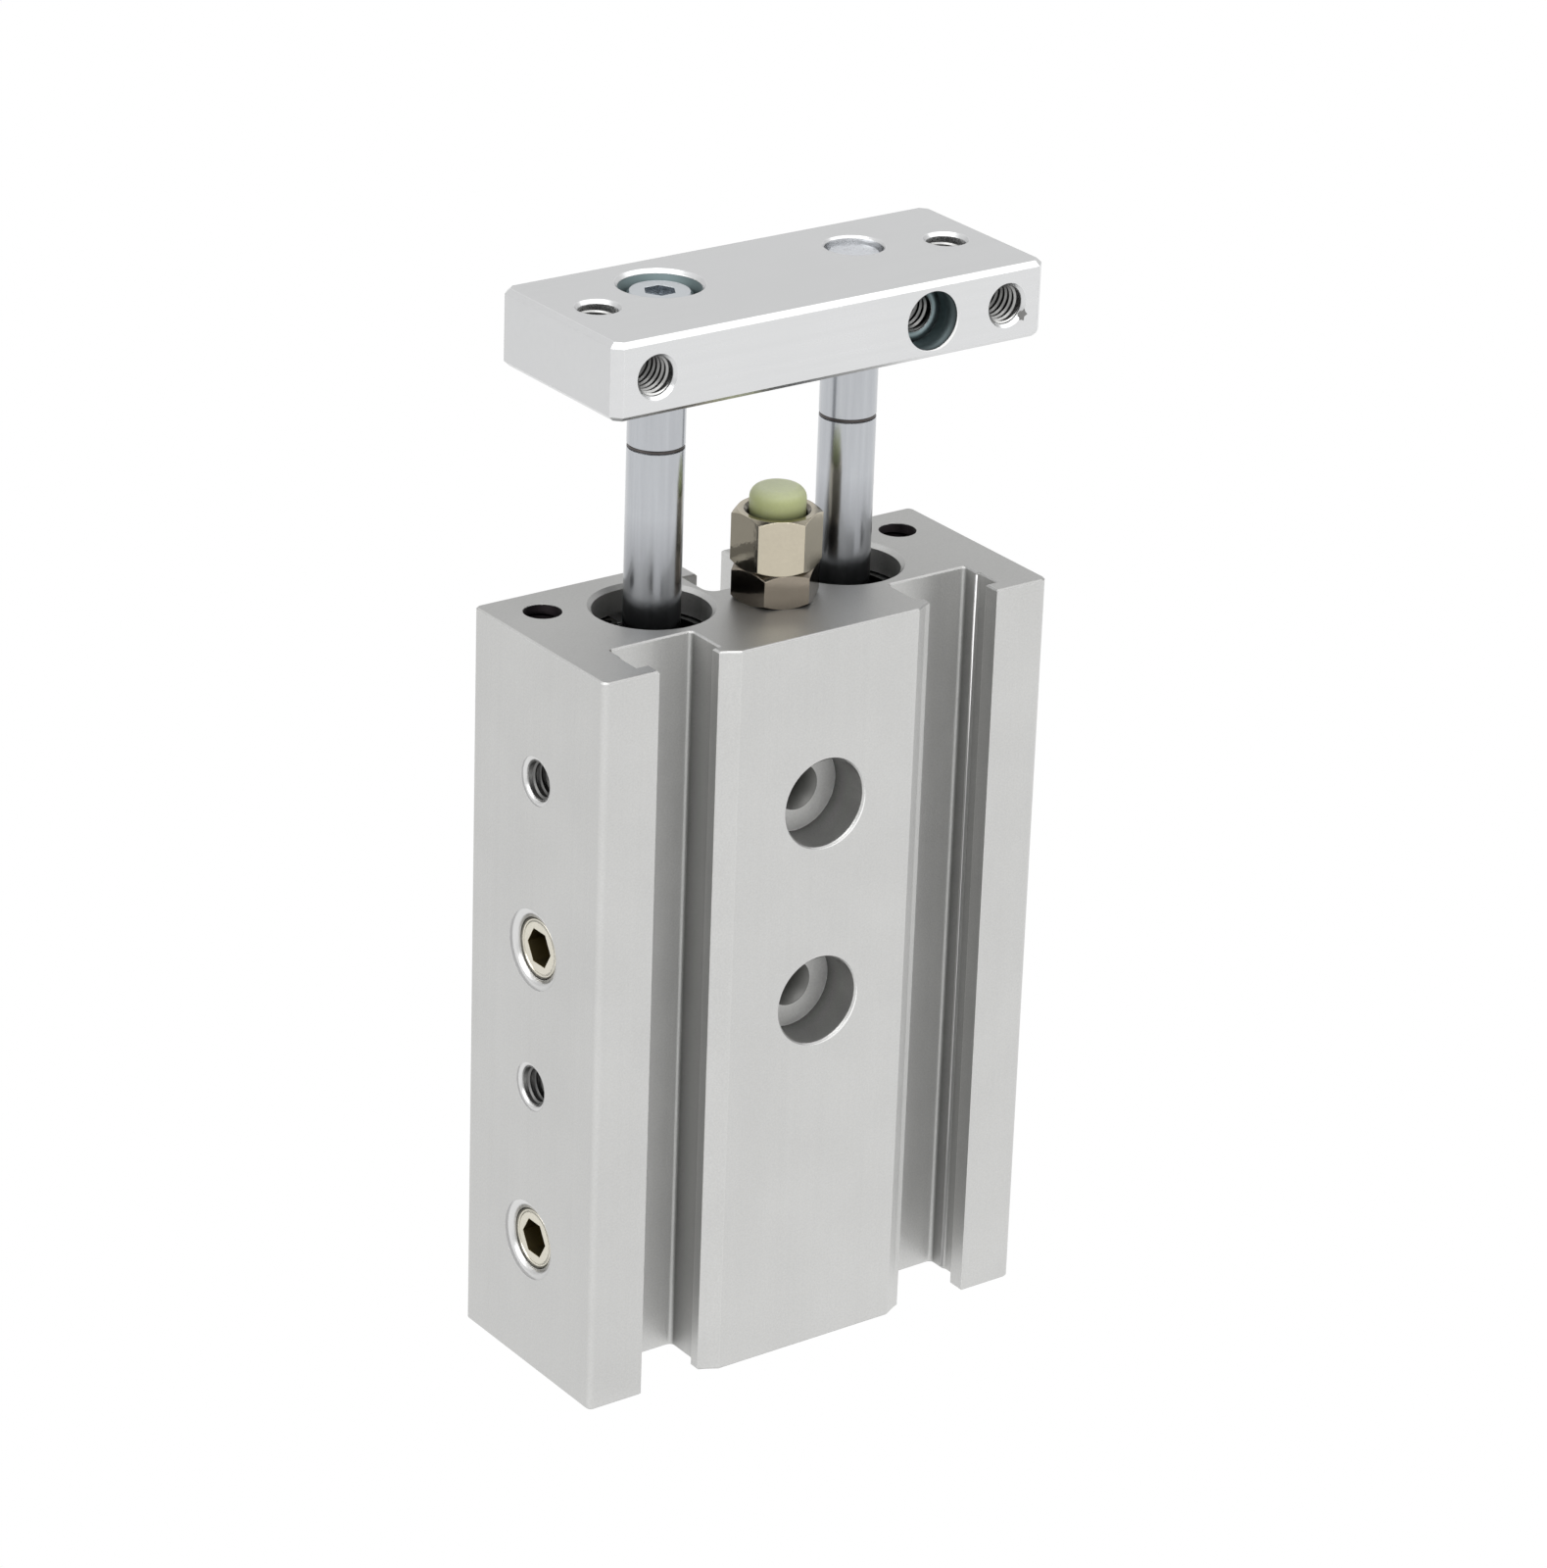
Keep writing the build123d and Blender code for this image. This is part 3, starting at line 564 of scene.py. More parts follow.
def metalFinish(name):
    look = {**finishDefaults, **finishes[name]}
    material = bpy.data.materials.new(name)
    material.use_nodes = True
    tree = material.node_tree
    shader = tree.nodes["Principled BSDF"]
    shader.inputs["Metallic"].default_value = look["metal"]
    grain = useGroup(tree, grainGroup, GrainSize=look["grain"], Contrast=look["contrast"])
    streaks = useGroup(tree, streakGroup, Squeeze=look["streaks"], Contrast=look["streakContrast"])
    edges = useGroup(tree, edgeGroup, Radius=look["edge"])
    cavity = useGroup(tree, cavityGroups[look["hollows"]], Reach=look["reach"],
                      Clear=look["clear"], Darkest=look["darkest"])
    face = useGroup(tree, faceShadeGroup, Sides=look["sides"], Ends=look["ends"],
                    Corners=look["corners"], Rims=look["rims"])

    tone = mathNode(tree, "MULTIPLY", grain.outputs["Tone"], streaks.outputs["Tone"])
    # Painted light and shade by which way the face points
    tone = mathNode(tree, "MULTIPLY", tone, face.outputs["Tone"])
    # Painted highlight along the edges
    lift = mathNode(tree, "MULTIPLY_ADD", edges.outputs["Edge"], look["edgeHighlight"], 1.0)
    tone = mathNode(tree, "MULTIPLY", tone, lift)
    # Painted shade in hollows: walls darken by wallPower, and floors facing the front take the deep
    # tone, lightened by floorLift where closed
    wallShade = mathNode(tree, "POWER", cavity.outputs["Tone"], look["wallPower"])
    closed = mathNode(tree, "SUBTRACT", 1.0, cavity.outputs["Open"])
    floorLift = mathNode(tree, "MULTIPLY_ADD", closed, look["floorLift"], 1.0)
    floorShade = mathNode(tree, "MULTIPLY", cavity.outputs["DeepTone"], floorLift)
    floorShare = mathNode(tree, "MULTIPLY", face.outputs["FrontMask"], look["openFloors"])
    gap = mathNode(tree, "SUBTRACT", floorShade, wallShade)
    shade = mathNode(tree, "MULTIPLY_ADD", gap, floorShare, wallShade)
    shaded = mathNode(tree, "MULTIPLY", tone, shade)
    if "fade" in look:
        axis, start, end, startTone = look["fade"]
        place = addNode(tree, "ShaderNodeTexCoord")
        split = addNode(tree, "ShaderNodeSeparateXYZ")
        feed(tree, place.outputs["Object"], split.inputs[0])
        fade = stretch(tree, split.outputs[axis], start, end, startTone, 1.0)
        shaded = mathNode(tree, "MULTIPLY", shaded, fade)
    colour = addNode(tree, "ShaderNodeVectorMath", operation="SCALE")
    colour.inputs[0].default_value = look["colour"]
    feed(tree, shaded, colour.inputs["Scale"])
    feed(tree, colour.outputs["Vector"], shader.inputs["Base Color"])

    rough = mathNode(tree, "MULTIPLY", tone, look["roughness"])
    rough = mathNode(tree, "MULTIPLY_ADD", face.outputs["EndMask"], look["endRoughness"], rough)
    rough = mathNode(tree, "MULTIPLY_ADD", closed, look["hollowRoughness"], rough)
    feed(tree, rough, shader.inputs["Roughness"])
    height = mathNode(tree, "MULTIPLY_ADD", streaks.outputs["Height"], effects["streakBump"],
                      grain.outputs["Height"])
    bump = addNode(tree, "ShaderNodeBump")
    bump.inputs["Distance"].default_value = look["bump"]
    bump.inputs["Strength"].default_value = 1.0
    feed(tree, height, bump.inputs["Height"])
    feed(tree, edges.outputs["Normal"], bump.inputs["Normal"])
    feed(tree, bump.outputs["Normal"], shader.inputs["Normal"])
    return material


softSkin = {
    "glowRadius": (1.0, 1.0, 0.5),
    "glowScale": 0.8 * mm,
    "patches": 1.5 * mm,
    "contrast": 0.12,
    "reach": 1.6 * mm,
    "darkest": 0.12,
    "bump": 0.004 * mm,
}
softFinishes = {
    "nitrileRubber": {
        "colour": (0.02, 0.02, 0.02),
        "litTopColour": (0.02, 0.02, 0.02),
        "roughness": 0.6,
        "glow": 0.0,
        "grain": 0.1 * mm,
    },
    "cushionUrethane": {
        "colour": (0.42, 0.455, 0.215),
        "litTopColour": (0.72, 0.765, 0.50),
        "roughness": 0.42,
        "glow": 0.25,
        "grain": 0.2 * mm,
    },
}


def softFinish(name):
    # Rubber and urethane: a dull skin with a little light passing under it
    look = softFinishes[name]
    material = bpy.data.materials.new(name)
    material.use_nodes = True
    tree = material.node_tree
    shader = tree.nodes["Principled BSDF"]
    shader.inputs["Subsurface Weight"].default_value = look["glow"]
    shader.inputs["Subsurface Radius"].default_value = softSkin["glowRadius"]
    shader.inputs["Subsurface Scale"].default_value = softSkin["glowScale"]
    grain = useGroup(tree, grainGroup, GrainSize=look["grain"], PatchSize=softSkin["patches"],
                     Contrast=softSkin["contrast"])
    cavity = useGroup(tree, cavityGroups["shared"], Reach=softSkin["reach"], Darkest=softSkin["darkest"])
    face = useGroup(tree, faceShadeGroup)
    # Painted light: the top face takes a lighter colour, as lit from above
    mix = addNode(tree, "ShaderNodeMix", data_type="RGBA")
    feed(tree, face.outputs["EndMask"], mix.inputs["Factor"])
    mix.inputs["A"].default_value = (*look["colour"], 1)
    mix.inputs["B"].default_value = (*look["litTopColour"], 1)
    # Painted shade: the colour darkens in hollows
    tone = mathNode(tree, "MULTIPLY", grain.outputs["Tone"], cavity.outputs["Tone"])
    tinted = addNode(tree, "ShaderNodeVectorMath", operation="SCALE")
    feed(tree, mix.outputs["Result"], tinted.inputs[0])
    feed(tree, tone, tinted.inputs["Scale"])
    feed(tree, tinted.outputs["Vector"], shader.inputs["Base Color"])
    rough = mathNode(tree, "MULTIPLY", grain.outputs["Tone"], look["roughness"])
    feed(tree, rough, shader.inputs["Roughness"])
    bump = addNode(tree, "ShaderNodeBump")
    bump.inputs["Distance"].default_value = softSkin["bump"]
    feed(tree, grain.outputs["Height"], bump.inputs["Height"])
    feed(tree, bump.outputs["Normal"], shader.inputs["Normal"])
    return material


materials = {name: metalFinish(name) for name in finishes}
materials.update({name: softFinish(name) for name in softFinishes})
print("finishes ready:", len(materials))

finishOfSlot = {
    "body_aluminium": "bodyAluminium",
    "plate_aluminium": "plateAluminium",
    "inner_aluminium": "innerAluminium",
    "rod_chrome": "rodChrome",
    "nickel_steel": "nickelSteel",
    "zinc_steel": "zincSteel",
    "black_steel": "blackSteel",
    "plug_brass": "plugBrass",
    "magnet_black": "magnetBlack",
    "nitrile_rubber": "nitrileRubber",
    "cushion_urethane": "cushionUrethane",
}
for subpart in frame["record"]["subparts"]:
    solid = nodes[subpart["node"]]
    solid.data.materials.clear()
    solid.data.materials.append(materials[finishOfSlot[subpart["material_slot"]]])
# Painted shade: the lock nut takes the darker copy of the nickel finish
nodes["lock_nut"].data.materials.clear()
nodes["lock_nut"].data.materials.append(materials["shadedNickelNut"])


threads = {
    "m3": {"wall": 1.36 * mm, "crest": 1.22 * mm, "pitch": 0.5 * mm},
    "m5": {"wall": 2.26 * mm, "crest": 2.05 * mm, "pitch": 0.8 * mm},
    "stepsATurn": 44,
    "baseShare": 0.62,  # of the pitch, at the wall
    "crestShare": 0.16,
    "sunkInWall": 0.015 * mm,
    "runOut": 0.3,  # turns over which the ridge fades into the wall
    "leastHeight": 0.02,  # share of the ridge left at its very ends
}


def addMesh(name, points, faces, material, smooth=True):
    mesh = bpy.data.meshes.new(name)
    mesh.from_pydata(points, [], faces)
    mesh.validate()
    if len(faces) > 1:
        shell = bmesh.new()
        shell.from_mesh(mesh)
        bmesh.ops.recalc_face_normals(shell, faces=shell.faces[:])
        shell.to_mesh(mesh)
        shell.free()
    mesh.materials.append(material)
    for face in mesh.polygons:
        face.use_smooth = smooth
    piece = bpy.data.objects.new(name, mesh)
    scene.collection.objects.link(piece)
    return piece


def alignTo(mouth, outward):
    # Frame whose Z points out of the hole and whose origin is at the hole's mouth
    turn = Vector((0, 0, 1)).rotation_difference(Vector(outward)).to_matrix().to_4x4()
    return Matrix.Translation(Vector(mouth)) @ turn


def cutThread(name, size, mouth, outward, depths, body, material):
    thread = threads[size]
    depthFrom, depthTo = depths
    steps = threads["stepsATurn"]
    pitch = thread["pitch"]
    turns = (depthTo - depthFrom) / pitch - threads["baseShare"]
    count = int(turns * steps)
    wall = thread["wall"] + threads["sunkInWall"]
    place = alignTo(mouth, outward)
    points, faces = [], []
    for index in range(count + 1):
        turned = index / steps
        angle = turned * 2 * math.pi
        fade = min(turned / threads["runOut"], (turns - turned) / threads["runOut"], 1.0)
        crest = wall + (thread["crest"] - wall) * max(fade, threads["leastHeight"])
        middle = -(depthFrom + pitch * (threads["baseShare"] / 2 + turned))
        base = pitch * threads["baseShare"] / 2
        top = pitch * threads["crestShare"] / 2
        for radius, height in ((wall, base), (crest, top), (crest, -top), (wall, -base)):
            spot = Vector((radius * math.cos(angle), -radius * math.sin(angle), middle + height))
            points.append(place @ spot)
    for index in range(count):
        here, there = 4 * index, 4 * index + 4
        for corner in range(4):
            following = (corner + 1) % 4
            faces.append((here + corner, here + following, there + following, there + corner))
    faces.append((3, 2, 1, 0))
    faces.append(tuple(4 * count + corner for corner in range(4)))
    piece = addMesh(name, points, faces, material, smooth=False)
    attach(piece, body)


plateLow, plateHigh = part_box("end_plate")
bodyLow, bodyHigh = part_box("housing")
plateMiddleZ = (plateLow.z + plateHigh.z) / 2
tapped = {
    "plateTopX": 14.3 * mm,
    "plateTopY": -0.1 * mm,
    "clampX": 8.0 * mm,
    "clampSeatDepth": 2.0 * mm,
    "endX": 15.0 * mm,
    "endY": 4.8 * mm,
    "sideHeights": (21.9 * mm, 45.0 * mm),
    "portHeights": (9.9 * mm, 32.4 * mm),
    # where each thread starts and ends below the face
    "plateTopThread": (0.26 * mm, 5.1 * mm),
    "plateFrontThread": (0.26 * mm, 4.1 * mm),
    "endThread": (0.1 * mm, 4.4 * mm),
    "sideThread": (0.27 * mm, 3.9 * mm),
    "portThread": (0.42 * mm, 4.2 * mm),
    "clampThread": (0.02 * mm, 4.1 * mm),
}
bright = materials["threadAluminium"]
left, right, front, up = (-1, 0, 0), (1, 0, 0), (0, -1, 0), (0, 0, 1)
for sideName, sign in (("Left", -1), ("Right", 1)):
    x = sign * tapped["plateTopX"]
    cutThread("plateTopThread" + sideName, "m3", (x, tapped["plateTopY"], plateHigh.z), up,
              tapped["plateTopThread"], "carriage", bright)
    cutThread("plateFrontThread" + sideName, "m3", (x, plateLow.y, plateMiddleZ), front,
              tapped["plateFrontThread"], "carriage", bright)
    cutThread("endThread" + sideName, "m3", (sign * tapped["endX"], tapped["endY"], bodyHigh.z), up,
              tapped["endThread"], "cylinder", materials["paintedBoreShade"])
    faceX = sign * bodyHigh.x
    outward = left if sign < 0 else right
    for heightName, height in zip(("Low", "High"), tapped["sideHeights"]):
        cutThread("sideThread" + sideName + heightName, "m3", (faceX, 0, height), outward,
                  tapped["sideThread"], "cylinder", materials["shadedThreadAndNick"])
for heightName, height in zip(("Low", "High"), tapped["portHeights"]):
    cutThread("portThread" + heightName, "m5", (bodyHigh.x, 0, height), right,
              tapped["portThread"], "cylinder", bright)
cutThread("clampThread", "m3", (tapped["clampX"], plateLow.y + tapped["clampSeatDepth"], plateMiddleZ),
          front, tapped["clampThread"], "carriage", bright)
print("threads cut")


def turnShape(name, profile, place, material, body,
              closed=False, steps=96, smooth=True, turned=0.0):
    # Turns (radius, height) points about the local Z of place. A radius of 0 is a pole
    points, rows = [], []
    for radius, height in profile:
        count = steps if radius > 0 else 1
        first = len(points)
        for index in range(count):
            angle = turned + index * 2 * math.pi / steps
            points.append(place @ Vector((radius * math.cos(angle), radius * math.sin(angle), height)))
        rows.append([first + index % count for index in range(steps)])
    pairs = list(zip(rows, rows[1:]))
    if closed:
        pairs.append((rows[-1], rows[0]))
    faces = []
    for lower, upper in pairs:
        for index in range(steps):
            after = (index + 1) % steps
            corners = (lower[index], lower[after], upper[after], upper[index])
            faces.append(tuple(dict.fromkeys(corners)))
    piece = addMesh(name, points, faces, material, smooth)
    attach(piece, body)
    return piece


rodMarks = {
    "radius": 1.965 * mm,
    "inside": 1.87 * mm,
    "height": 0.2 * mm,
    "rodX": 8.0 * mm,
    "rodY": 1.9 * mm,
    "dropLeft": 5.95 * mm,  # middle of the mark below the plate
    "dropRight": 6.65 * mm,
}
linings = {
    "thickness": 0.02 * mm,
    "endHoles": {"radius": 1.355 * mm, "from": 0.06 * mm, "to": 4.45 * mm},
    "clampBore": {"radius": 2.07 * mm, "from": 0.1 * mm, "to": 1.97 * mm},
    "clampSeat": {"inner": 1.38 * mm, "outer": 2.04 * mm, "from": 1.97 * mm, "to": 1.99 * mm},
    "capBore": {"radius": 2.845 * mm, "from": 0.3 * mm, "to": 2.96 * mm},
    "coneCoat": {"sunk": 0.012 * mm, "inward": 0.006 * mm, "rim": 0.001 * mm},
    "smallCone": {"inner": 1.37 * mm, "outer": 1.78 * mm, "depth": 0.248 * mm},
    "largeCone": {"inner": 2.27 * mm, "outer": 2.93 * mm, "depth": 0.392 * mm},
    "plugCollar": {"inner": 1.86 * mm, "outer": 2.21 * mm, "height": 0.012 * mm},
    "throughHoles": {"radius": 1.695 * mm, "from": 3.32 * mm, "to": 9.85 * mm},
    "throughHeights": {"Low": 27.15 * mm, "High": 42.15 * mm},
    "plugSocket": {"radius": 2.5 * mm / 3 ** 0.5 - 0.005 * mm, "face": 0.5 * mm, "depth": 1.88 * mm},
}


def lineHole(name, size, mouth, outward, material, body):
    # A thin sheet on the wall of a hole that carries painted shade; in the through holes it carries
    # painted light
    outer, inner = size["radius"], size["radius"] - linings["thickness"]
    profile = [(outer, -size["to"]), (outer, -size["from"]),
               (inner, -size["from"]), (inner, -size["to"])]
    turnShape(name, profile, alignTo(mouth, outward), material, body, closed=True)


for sideName, sign in (("Left", -1), ("Right", 1)):
    mouth = (sign * tapped["endX"], tapped["endY"], bodyHigh.z)
    lineHole("endHoleShadeSheet" + sideName, linings["endHoles"], mouth, up, materials["paintedBoreShade"],
             "cylinder")
lineHole("clampBoreShadeSheet", linings["clampBore"], (tapped["clampX"], plateLow.y, plateMiddleZ), front,
         materials["clampBorePaintedShade"], "carriage")
seat = linings["clampSeat"]
profile = [(seat["inner"], -seat["to"]), (seat["outer"], -seat["to"]),
           (seat["outer"], -seat["from"]), (seat["inner"], -seat["from"])]
turnShape("clampSeatShadeSheet", profile, alignTo((tapped["clampX"], plateLow.y, plateMiddleZ), front),
          materials["clampBorePaintedShade"], "carriage", closed=True)
lineHole("capBoreShadeSheet", linings["capBore"], (-rodMarks["rodX"], rodMarks["rodY"], plateHigh.z), up,
         materials["capBorePaintedShade"], "carriage")
socket = linings["plugSocket"]
for heightName, height in zip(("Low", "High"), tapped["portHeights"]):
    # Painted shade: a dark sheet lines the plug's hex socket
    outer, inner = socket["radius"], socket["radius"] - linings["thickness"]
    bottom, rim = -socket["depth"], -linings["thickness"]
    profile = [(0, bottom), (outer, bottom), (outer, rim), (inner, rim),
               (inner, bottom + linings["thickness"]), (0, bottom + linings["thickness"])]
    place = alignTo((bodyLow.x + socket["face"], 0, height), left)
    turnShape("plugSocketShadeSheet" + heightName, profile, place, materials["socketShade"], "cylinder",
              steps=6, smooth=False, turned=math.pi / 6)
    collar = linings["plugCollar"]
    profile = [(collar["outer"], -collar["height"]), (collar["outer"], collar["height"]),
               (collar["inner"], collar["height"]), (collar["inner"], -collar["height"])]
    turnShape("plugCollar" + heightName, profile, place, materials["plugBrass"], "cylinder",
              closed=True)


def coatCone(name, size, mouth, outward):
    # A countersink is cut after the surface treatment, so its bare metal is brighter
    coat = linings["coneCoat"]
    inner, outer, depth = size["inner"], size["outer"], size["depth"]
    profile = [(inner, -depth), (outer, -coat["sunk"]), (outer - coat["inward"], -coat["rim"]),
               (inner - coat["inward"], coat["sunk"] - depth)]
    turnShape(name, profile, alignTo(mouth, outward), materials["cutAluminiumAndHighlight"], "cylinder",
              closed=True)


for sideName, faceX, outward in (("Left", bodyLow.x, left), ("Right", bodyHigh.x, right)):
    for heightName, height in zip(("Low", "High"), tapped["sideHeights"]):
        coatCone("sideConeCoat" + sideName + heightName, linings["smallCone"], (faceX, 0, height),
                 outward)
    for heightName, height in zip(("Low", "High"), tapped["portHeights"]):
        coatCone("portConeCoat" + sideName + heightName, linings["largeCone"], (faceX, 0, height),
                 outward)
# Painted light on the through holes' walls
for heightName, height in linings["throughHeights"].items():
    lineHole("throughHoleLightSheet" + heightName, linings["throughHoles"], (0, bodyLow.y, height), front,
             materials["throughHolePaintedLight"], "cylinder")
print("holes lined")

rimGlints = {
    "angles": (-100.0, 12.0),  # degrees, from the right, counter-clockwise
    "steps": 28,
    "thickness": 0.008 * mm,
    "thinnest": 0.03,  # share of the width, at both tips
    "counterbore": {"radius": 3.36 * mm, "width": 0.17 * mm},
    "clampBore": {"radius": 2.08 * mm, "width": 0.20 * mm},
}


def paintRimGlint(name, size, x, z, faceY, body):
    # Painted highlight: a thin bright crescent that lies on the face, along the rim
    first, last = rimGlints["angles"]
    high, low = faceY - rimGlints["thickness"], faceY + rimGlints["thickness"]
    steps = rimGlints["steps"]
    points = []
    for index in range(steps + 1):
        share = index / steps
        angle = math.radians(first + share * (last - first))
        swell = max(math.sin(math.pi * share), rimGlints["thinnest"])
        inner, outer = size["radius"], size["radius"] + size["width"] * swell
        for radius, y in ((inner, low), (inner, high), (outer, high), (outer, low)):
            points.append((x + radius * math.cos(angle), y, z + radius * math.sin(angle)))
    faces = [(0, 1, 2, 3), tuple(4 * steps + corner for corner in (3, 2, 1, 0))]
    for index in range(steps):
        here, there = 4 * index, 4 * index + 4
        for corner in range(4):
            following = (corner + 1) % 4
            faces.append((here + following, here + corner, there + corner, there + following))
    piece = addMesh(name, points, faces, materials["rimGlintWhite"], smooth=False)
    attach(piece, body)


for heightName, height in linings["throughHeights"].items():
    paintRimGlint("counterboreGlint" + heightName, rimGlints["counterbore"], 0, height, bodyLow.y, "cylinder")
paintRimGlint("clampBoreGlint", rimGlints["clampBore"], tapped["clampX"], plateMiddleZ, plateLow.y, "carriage")
print("rim glints painted")

ledge = {
    "edge": (14.98 * mm, -4.5 * mm),  # just inside the metal, where the outer wall starts to slope
    "radius": 0.13 * mm,
    "sides": 12,
    "ends": 0.2 * mm,  # left bare at the top and bottom
}


def beadLedge(name, sign):
    # Painted highlight: a bright rounded bead in the groove's outer wall, for the pale line that runs
    # down it
    count = ledge["sides"]
    points = []
    for z in (bodyLow.z + ledge["ends"], bodyHigh.z - ledge["ends"]):
        for index in range(count):
            angle = index / count * 2 * math.pi
            x = ledge["edge"][0] + ledge["radius"] * math.cos(angle)
            points.append((sign * x, ledge["edge"][1] + ledge["radius"] * math.sin(angle), z))
    faces = [tuple(range(count)), tuple(range(2 * count - 1, count - 1, -1))]
    for index in range(count):
        after = (index + 1) % count
        faces.append((index, after, after + count, index + count))
    piece = addMesh(name, points, faces, materials["cutAluminiumAndHighlight"])
    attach(piece, "cylinder")


beadLedge("ledgeHighlightLeft", -1)
beadLedge("ledgeHighlightRight", 1)
print("groove ledges beaded")


def markRod(name, centreX, drop):
    outer, inner, half = rodMarks["radius"], rodMarks["inside"], rodMarks["height"] / 2
    place = Matrix.Translation((centreX, rodMarks["rodY"], plateLow.z - drop))
    profile = [(outer, -half), (outer, half), (inner, half), (inner, -half)]
    turnShape(name, profile, place, materials["rodMark"], "carriage", closed=True)


markRod("rodMarkLeft", -rodMarks["rodX"], rodMarks["dropLeft"])
markRod("rodMarkRight", rodMarks["rodX"], rodMarks["dropRight"])
print("rod marks added")

cushionLow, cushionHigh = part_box("cushion")
cushionShape = {
    "seat": 0.96,  # shares of the radius
    "underside": 0.5,
    "waist": 1.0,
    "roundness": 0.85 * mm,  # of the shoulder
    "dome": 0.07 * mm,
    "shoulderSteps": 14,
    "sideSteps": 12,
    "topShares": (0.8, 0.6, 0.4, 0.2),
}


def makeCushion():
    # Soft pad, a little barrel-shaped, with a round shoulder and a slightly domed top
    radius = (cushionHigh.x - cushionLow.x) / 2
    tall = cushionHigh.z - cushionLow.z
    shoulder = cushionShape["roundness"]
    seatRadius = cushionShape["seat"] * radius
    profile = [(0, 0), (seatRadius * cushionShape["underside"], 0), (seatRadius, 0)]
    straight = tall - cushionShape["dome"] - shoulder
    swell = cushionShape["waist"] - cushionShape["seat"]
    for index in range(1, cushionShape["sideSteps"] + 1):
        share = index / cushionShape["sideSteps"]
        bulge = cushionShape["seat"] + swell * math.sin(share * math.pi / 2)
        profile.append((bulge * radius, share * straight))
    for index in range(1, cushionShape["shoulderSteps"] + 1):
        angle = index / cushionShape["shoulderSteps"] * math.pi / 2
        inset = shoulder * (1 - math.cos(angle))
        profile.append((radius - inset, straight + shoulder * math.sin(angle)))
    edge = radius - shoulder
    for share in cushionShape["topShares"]:
        profile.append((edge * share, tall - cushionShape["dome"] * share * share))
    profile.append((0, tall))
    middleX = (cushionLow.x + cushionHigh.x) / 2
    middleY = (cushionLow.y + cushionHigh.y) / 2
    place = Matrix.Translation((middleX, middleY, cushionLow.z))
    piece = turnShape("cushionPad", profile, place, materials["cushionUrethane"], "bumper_lift")
    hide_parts("cushion")


makeCushion()
print("cushion made")

burr = {
    "place": (15.62 * mm, 74.5 * mm),  # on the plate's front
    "reach": (0.46 * mm, 0.52 * mm),
    "height": 0.03 * mm,
    "outline": (1.0, 0.7, 0.95, 0.6, 0.85, 1.0, 0.55, 0.8, 0.65, 0.9, 0.5),
}


def makeBurr():
    # Small dark nick beside the right hole
    x, z = burr["place"]
    points = [(x, plateLow.y - burr["height"], z), (x, plateLow.y + burr["height"], z)]
    count = len(burr["outline"])
    for index, share in enumerate(burr["outline"]):
        angle = index / count * 2 * math.pi
        points.append((
            x + share * burr["reach"][0] * math.cos(angle),
            plateLow.y,
            z + share * burr["reach"][1] * math.sin(angle),
        ))
    faces = []
    for index in range(count):
        here, after = 2 + index, 2 + (index + 1) % count
        faces.append((0, here, after))
        faces.append((1, after, here))
    piece = addMesh("plateNick", points, faces, materials["shadedThreadAndNick"], smooth=False)
    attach(piece, "carriage")


makeBurr()
print("plate nick made")

studio = {
    "skyCamera": 1.0,
    "skyGlossyLow": 0.82,
    "skyGlossyHigh": 1.0,
    "panelFrom": 0.43,  # height of the panel's soft edge, as a share of straight up
    "panelTo": 0.55,
    "skyLight": 0.55,
    "floorSize": 6.0,
    "floorRoughness": 0.9,
    "aim": (0, 0, 0.04),
    "floorColour": (0.80, 0.80, 0.80),
    "lamps": [
        # name, place, size, power
        ("softTop", (-0.25, -0.30, 0.80), 1.0, 5.0),
        ("softLeft", (-0.60, 0.05, 0.45), 0.7, 1.5),
        ("softRight", (0.56, -0.42, 0.76), 0.8, 1.8),
    ],
}


def showWhite(tree, lit, whiteStrength):
    # Plain white to the camera and in reflections, lit as usual for everything else
    path = addNode(tree, "ShaderNodeLightPath")
    seen = mathNode(tree, "MAXIMUM", path.outputs["Is Camera Ray"], path.outputs["Is Glossy Ray"])
    seen = mathNode(tree, "MAXIMUM", seen, path.outputs["Is Transmission Ray"])
    white = addNode(tree, "ShaderNodeEmission")
    white.inputs["Color"].default_value = (1, 1, 1, 1)
    white.inputs["Strength"].default_value = whiteStrength
    mix = addNode(tree, "ShaderNodeMixShader")
    feed(tree, seen, mix.inputs["Fac"])
    feed(tree, lit, mix.inputs[1])
    feed(tree, white.outputs[0], mix.inputs[2])
    return mix.outputs[0]


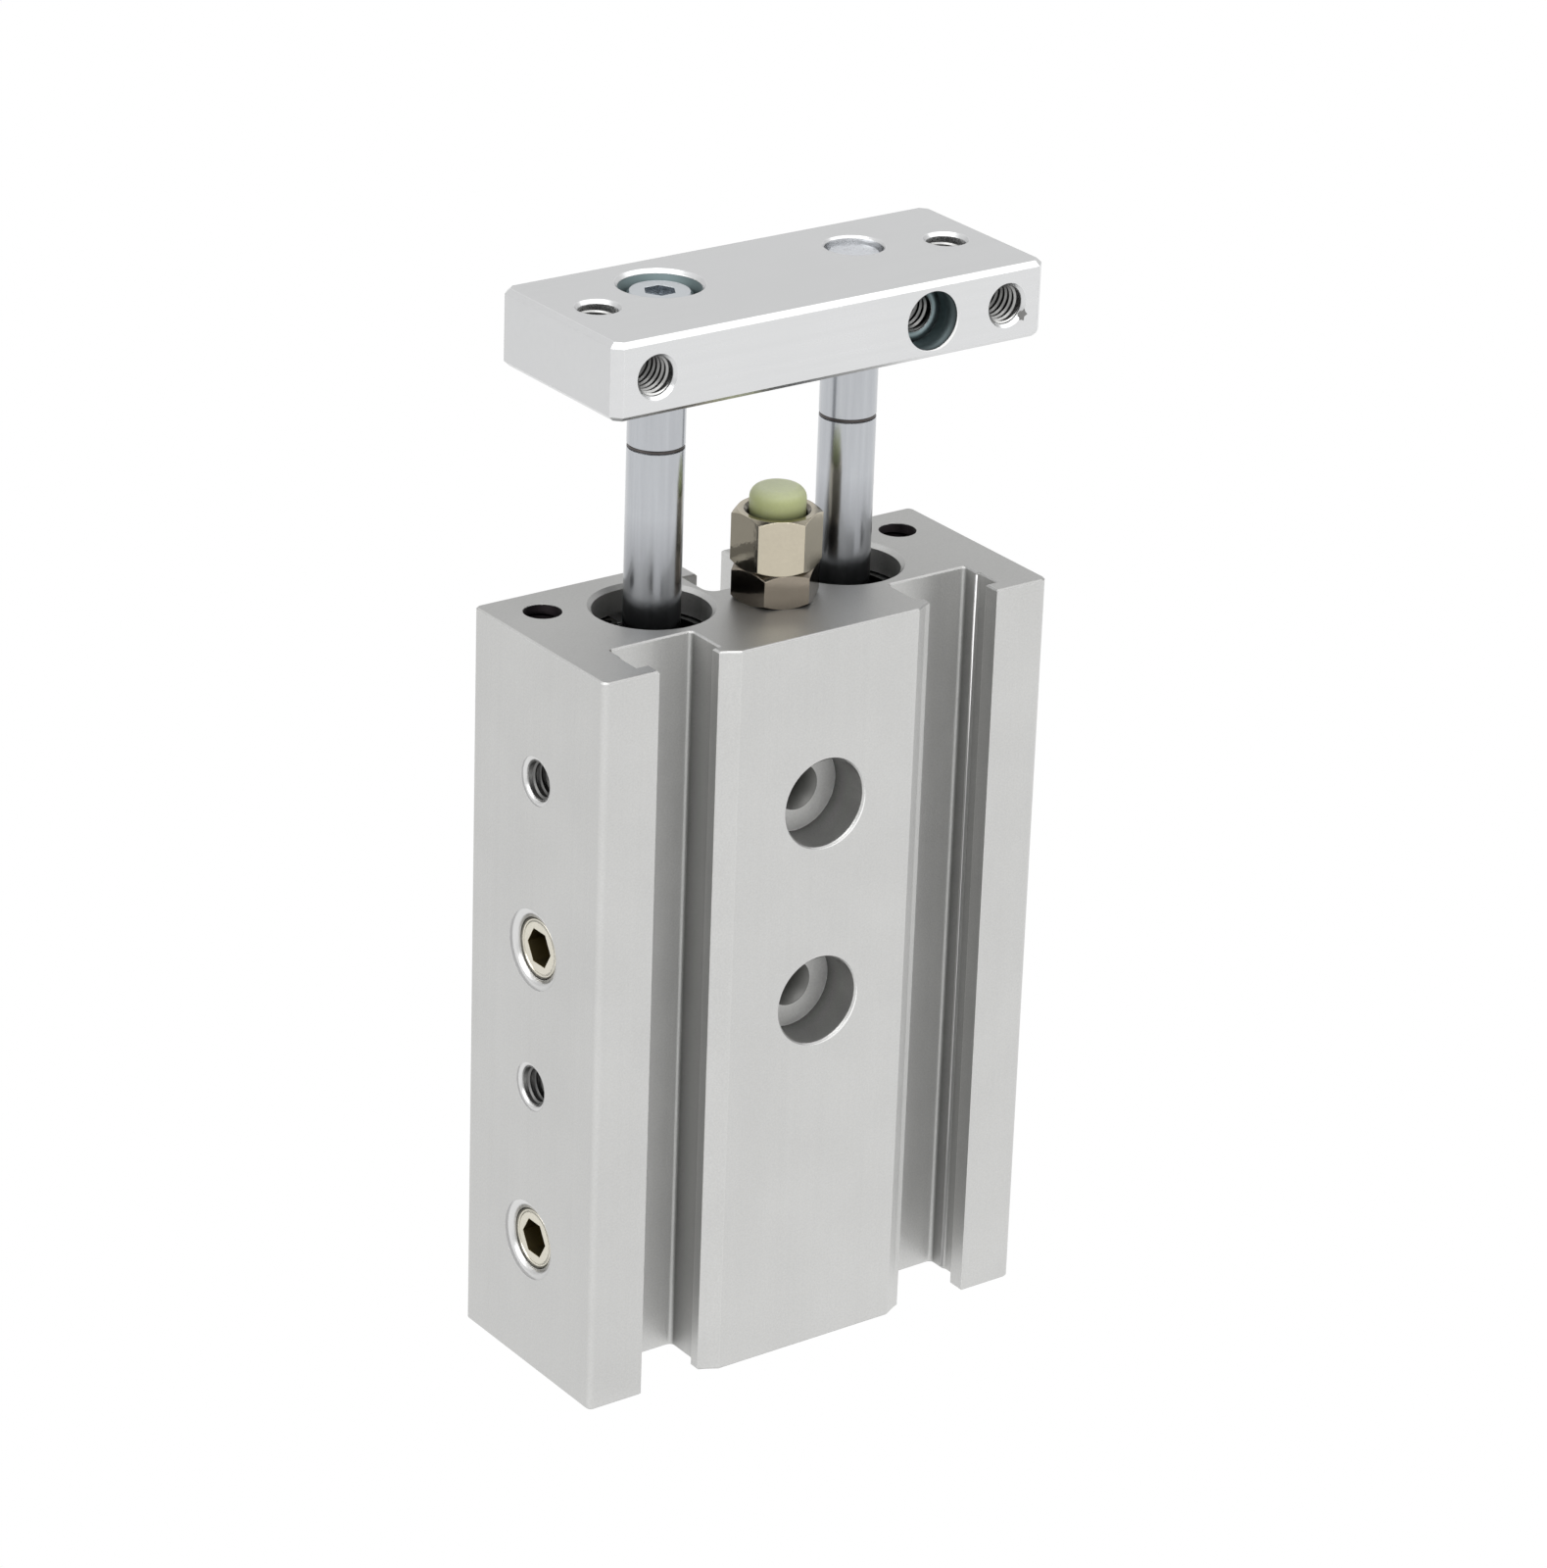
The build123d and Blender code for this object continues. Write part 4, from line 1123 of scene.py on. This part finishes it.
def makeWorld():
    world = bpy.data.worlds.new("studio")
    world.use_nodes = True
    scene.world = world
    tree = world.node_tree
    background = tree.nodes["Background"]
    path = addNode(tree, "ShaderNodeLightPath")
    place = addNode(tree, "ShaderNodeTexCoord")
    split = addNode(tree, "ShaderNodeSeparateXYZ")
    feed(tree, place.outputs["Generated"], split.inputs[0])
    glossy = stretch(tree, split.outputs["Z"], studio["panelFrom"], studio["panelTo"],
                     studio["skyGlossyLow"], studio["skyGlossyHigh"])
    seen = mathNode(tree, "MAXIMUM", path.outputs["Is Camera Ray"], path.outputs["Is Transmission Ray"])
    onlyGlossy = mathNode(tree, "MULTIPLY", path.outputs["Is Glossy Ray"], glossy)
    toCamera = mathNode(tree, "MULTIPLY", seen, studio["skyCamera"])
    strength = mathNode(tree, "MAXIMUM", toCamera, onlyGlossy)
    strength = mathNode(tree, "MAXIMUM", strength, studio["skyLight"])
    background.inputs["Color"].default_value = (1, 1, 1, 1)
    feed(tree, strength, background.inputs["Strength"])


def makeFloor():
    material = bpy.data.materials.new("paleFloor")
    material.use_nodes = True
    tree = material.node_tree
    shader = tree.nodes["Principled BSDF"]
    shader.inputs["Base Color"].default_value = (*studio["floorColour"], 1)
    shader.inputs["Roughness"].default_value = studio["floorRoughness"]
    output = tree.nodes["Material Output"]
    feed(tree, showWhite(tree, shader.outputs[0], 1.0), output.inputs["Surface"])
    half = studio["floorSize"] / 2
    corners = [(-half, -half, 0), (half, -half, 0), (half, half, 0), (-half, half, 0)]
    floor = addMesh("floor", corners, [(0, 1, 2, 3)], material, smooth=False)


def makeLamps():
    aim = Vector(studio["aim"])
    for name, place, size, power in studio["lamps"]:
        data = bpy.data.lights.new(name, "AREA")
        data.shape = "DISK"
        data.size = size
        data.energy = power
        lamp = bpy.data.objects.new(name, data)
        lamp.location = place
        lamp.rotation_euler = (aim - Vector(place)).to_track_quat("-Z", "Y").to_euler()
        scene.collection.objects.link(lamp)


view = {
    "place": (-0.210023, -0.288856, 0.197526),
    "right": (0.81485691, -0.57874828, 0.03253679),
    "down": (-0.20873157, -0.34532587, -0.91497605),
    "forward": (0.54077661, 0.7387831, -0.40219421),
    "lens": 128.528,
}


def makeCamera():
    data = bpy.data.cameras.new("photoView")
    data.sensor_fit = "VERTICAL"
    data.sensor_height = 36.0
    data.lens = view["lens"]
    data.clip_start = 0.01
    data.clip_end = 20.0
    camera = bpy.data.objects.new("photoView", data)
    rows = (Vector(view["right"]), -Vector(view["down"]), -Vector(view["forward"]))
    turn = Matrix(rows).transposed().to_4x4()
    camera.matrix_world = Matrix.Translation(Vector(view["place"])) @ turn
    scene.collection.objects.link(camera)
    scene.camera = camera


makeWorld()
makeFloor()
makeLamps()
makeCamera()
print("studio ready")
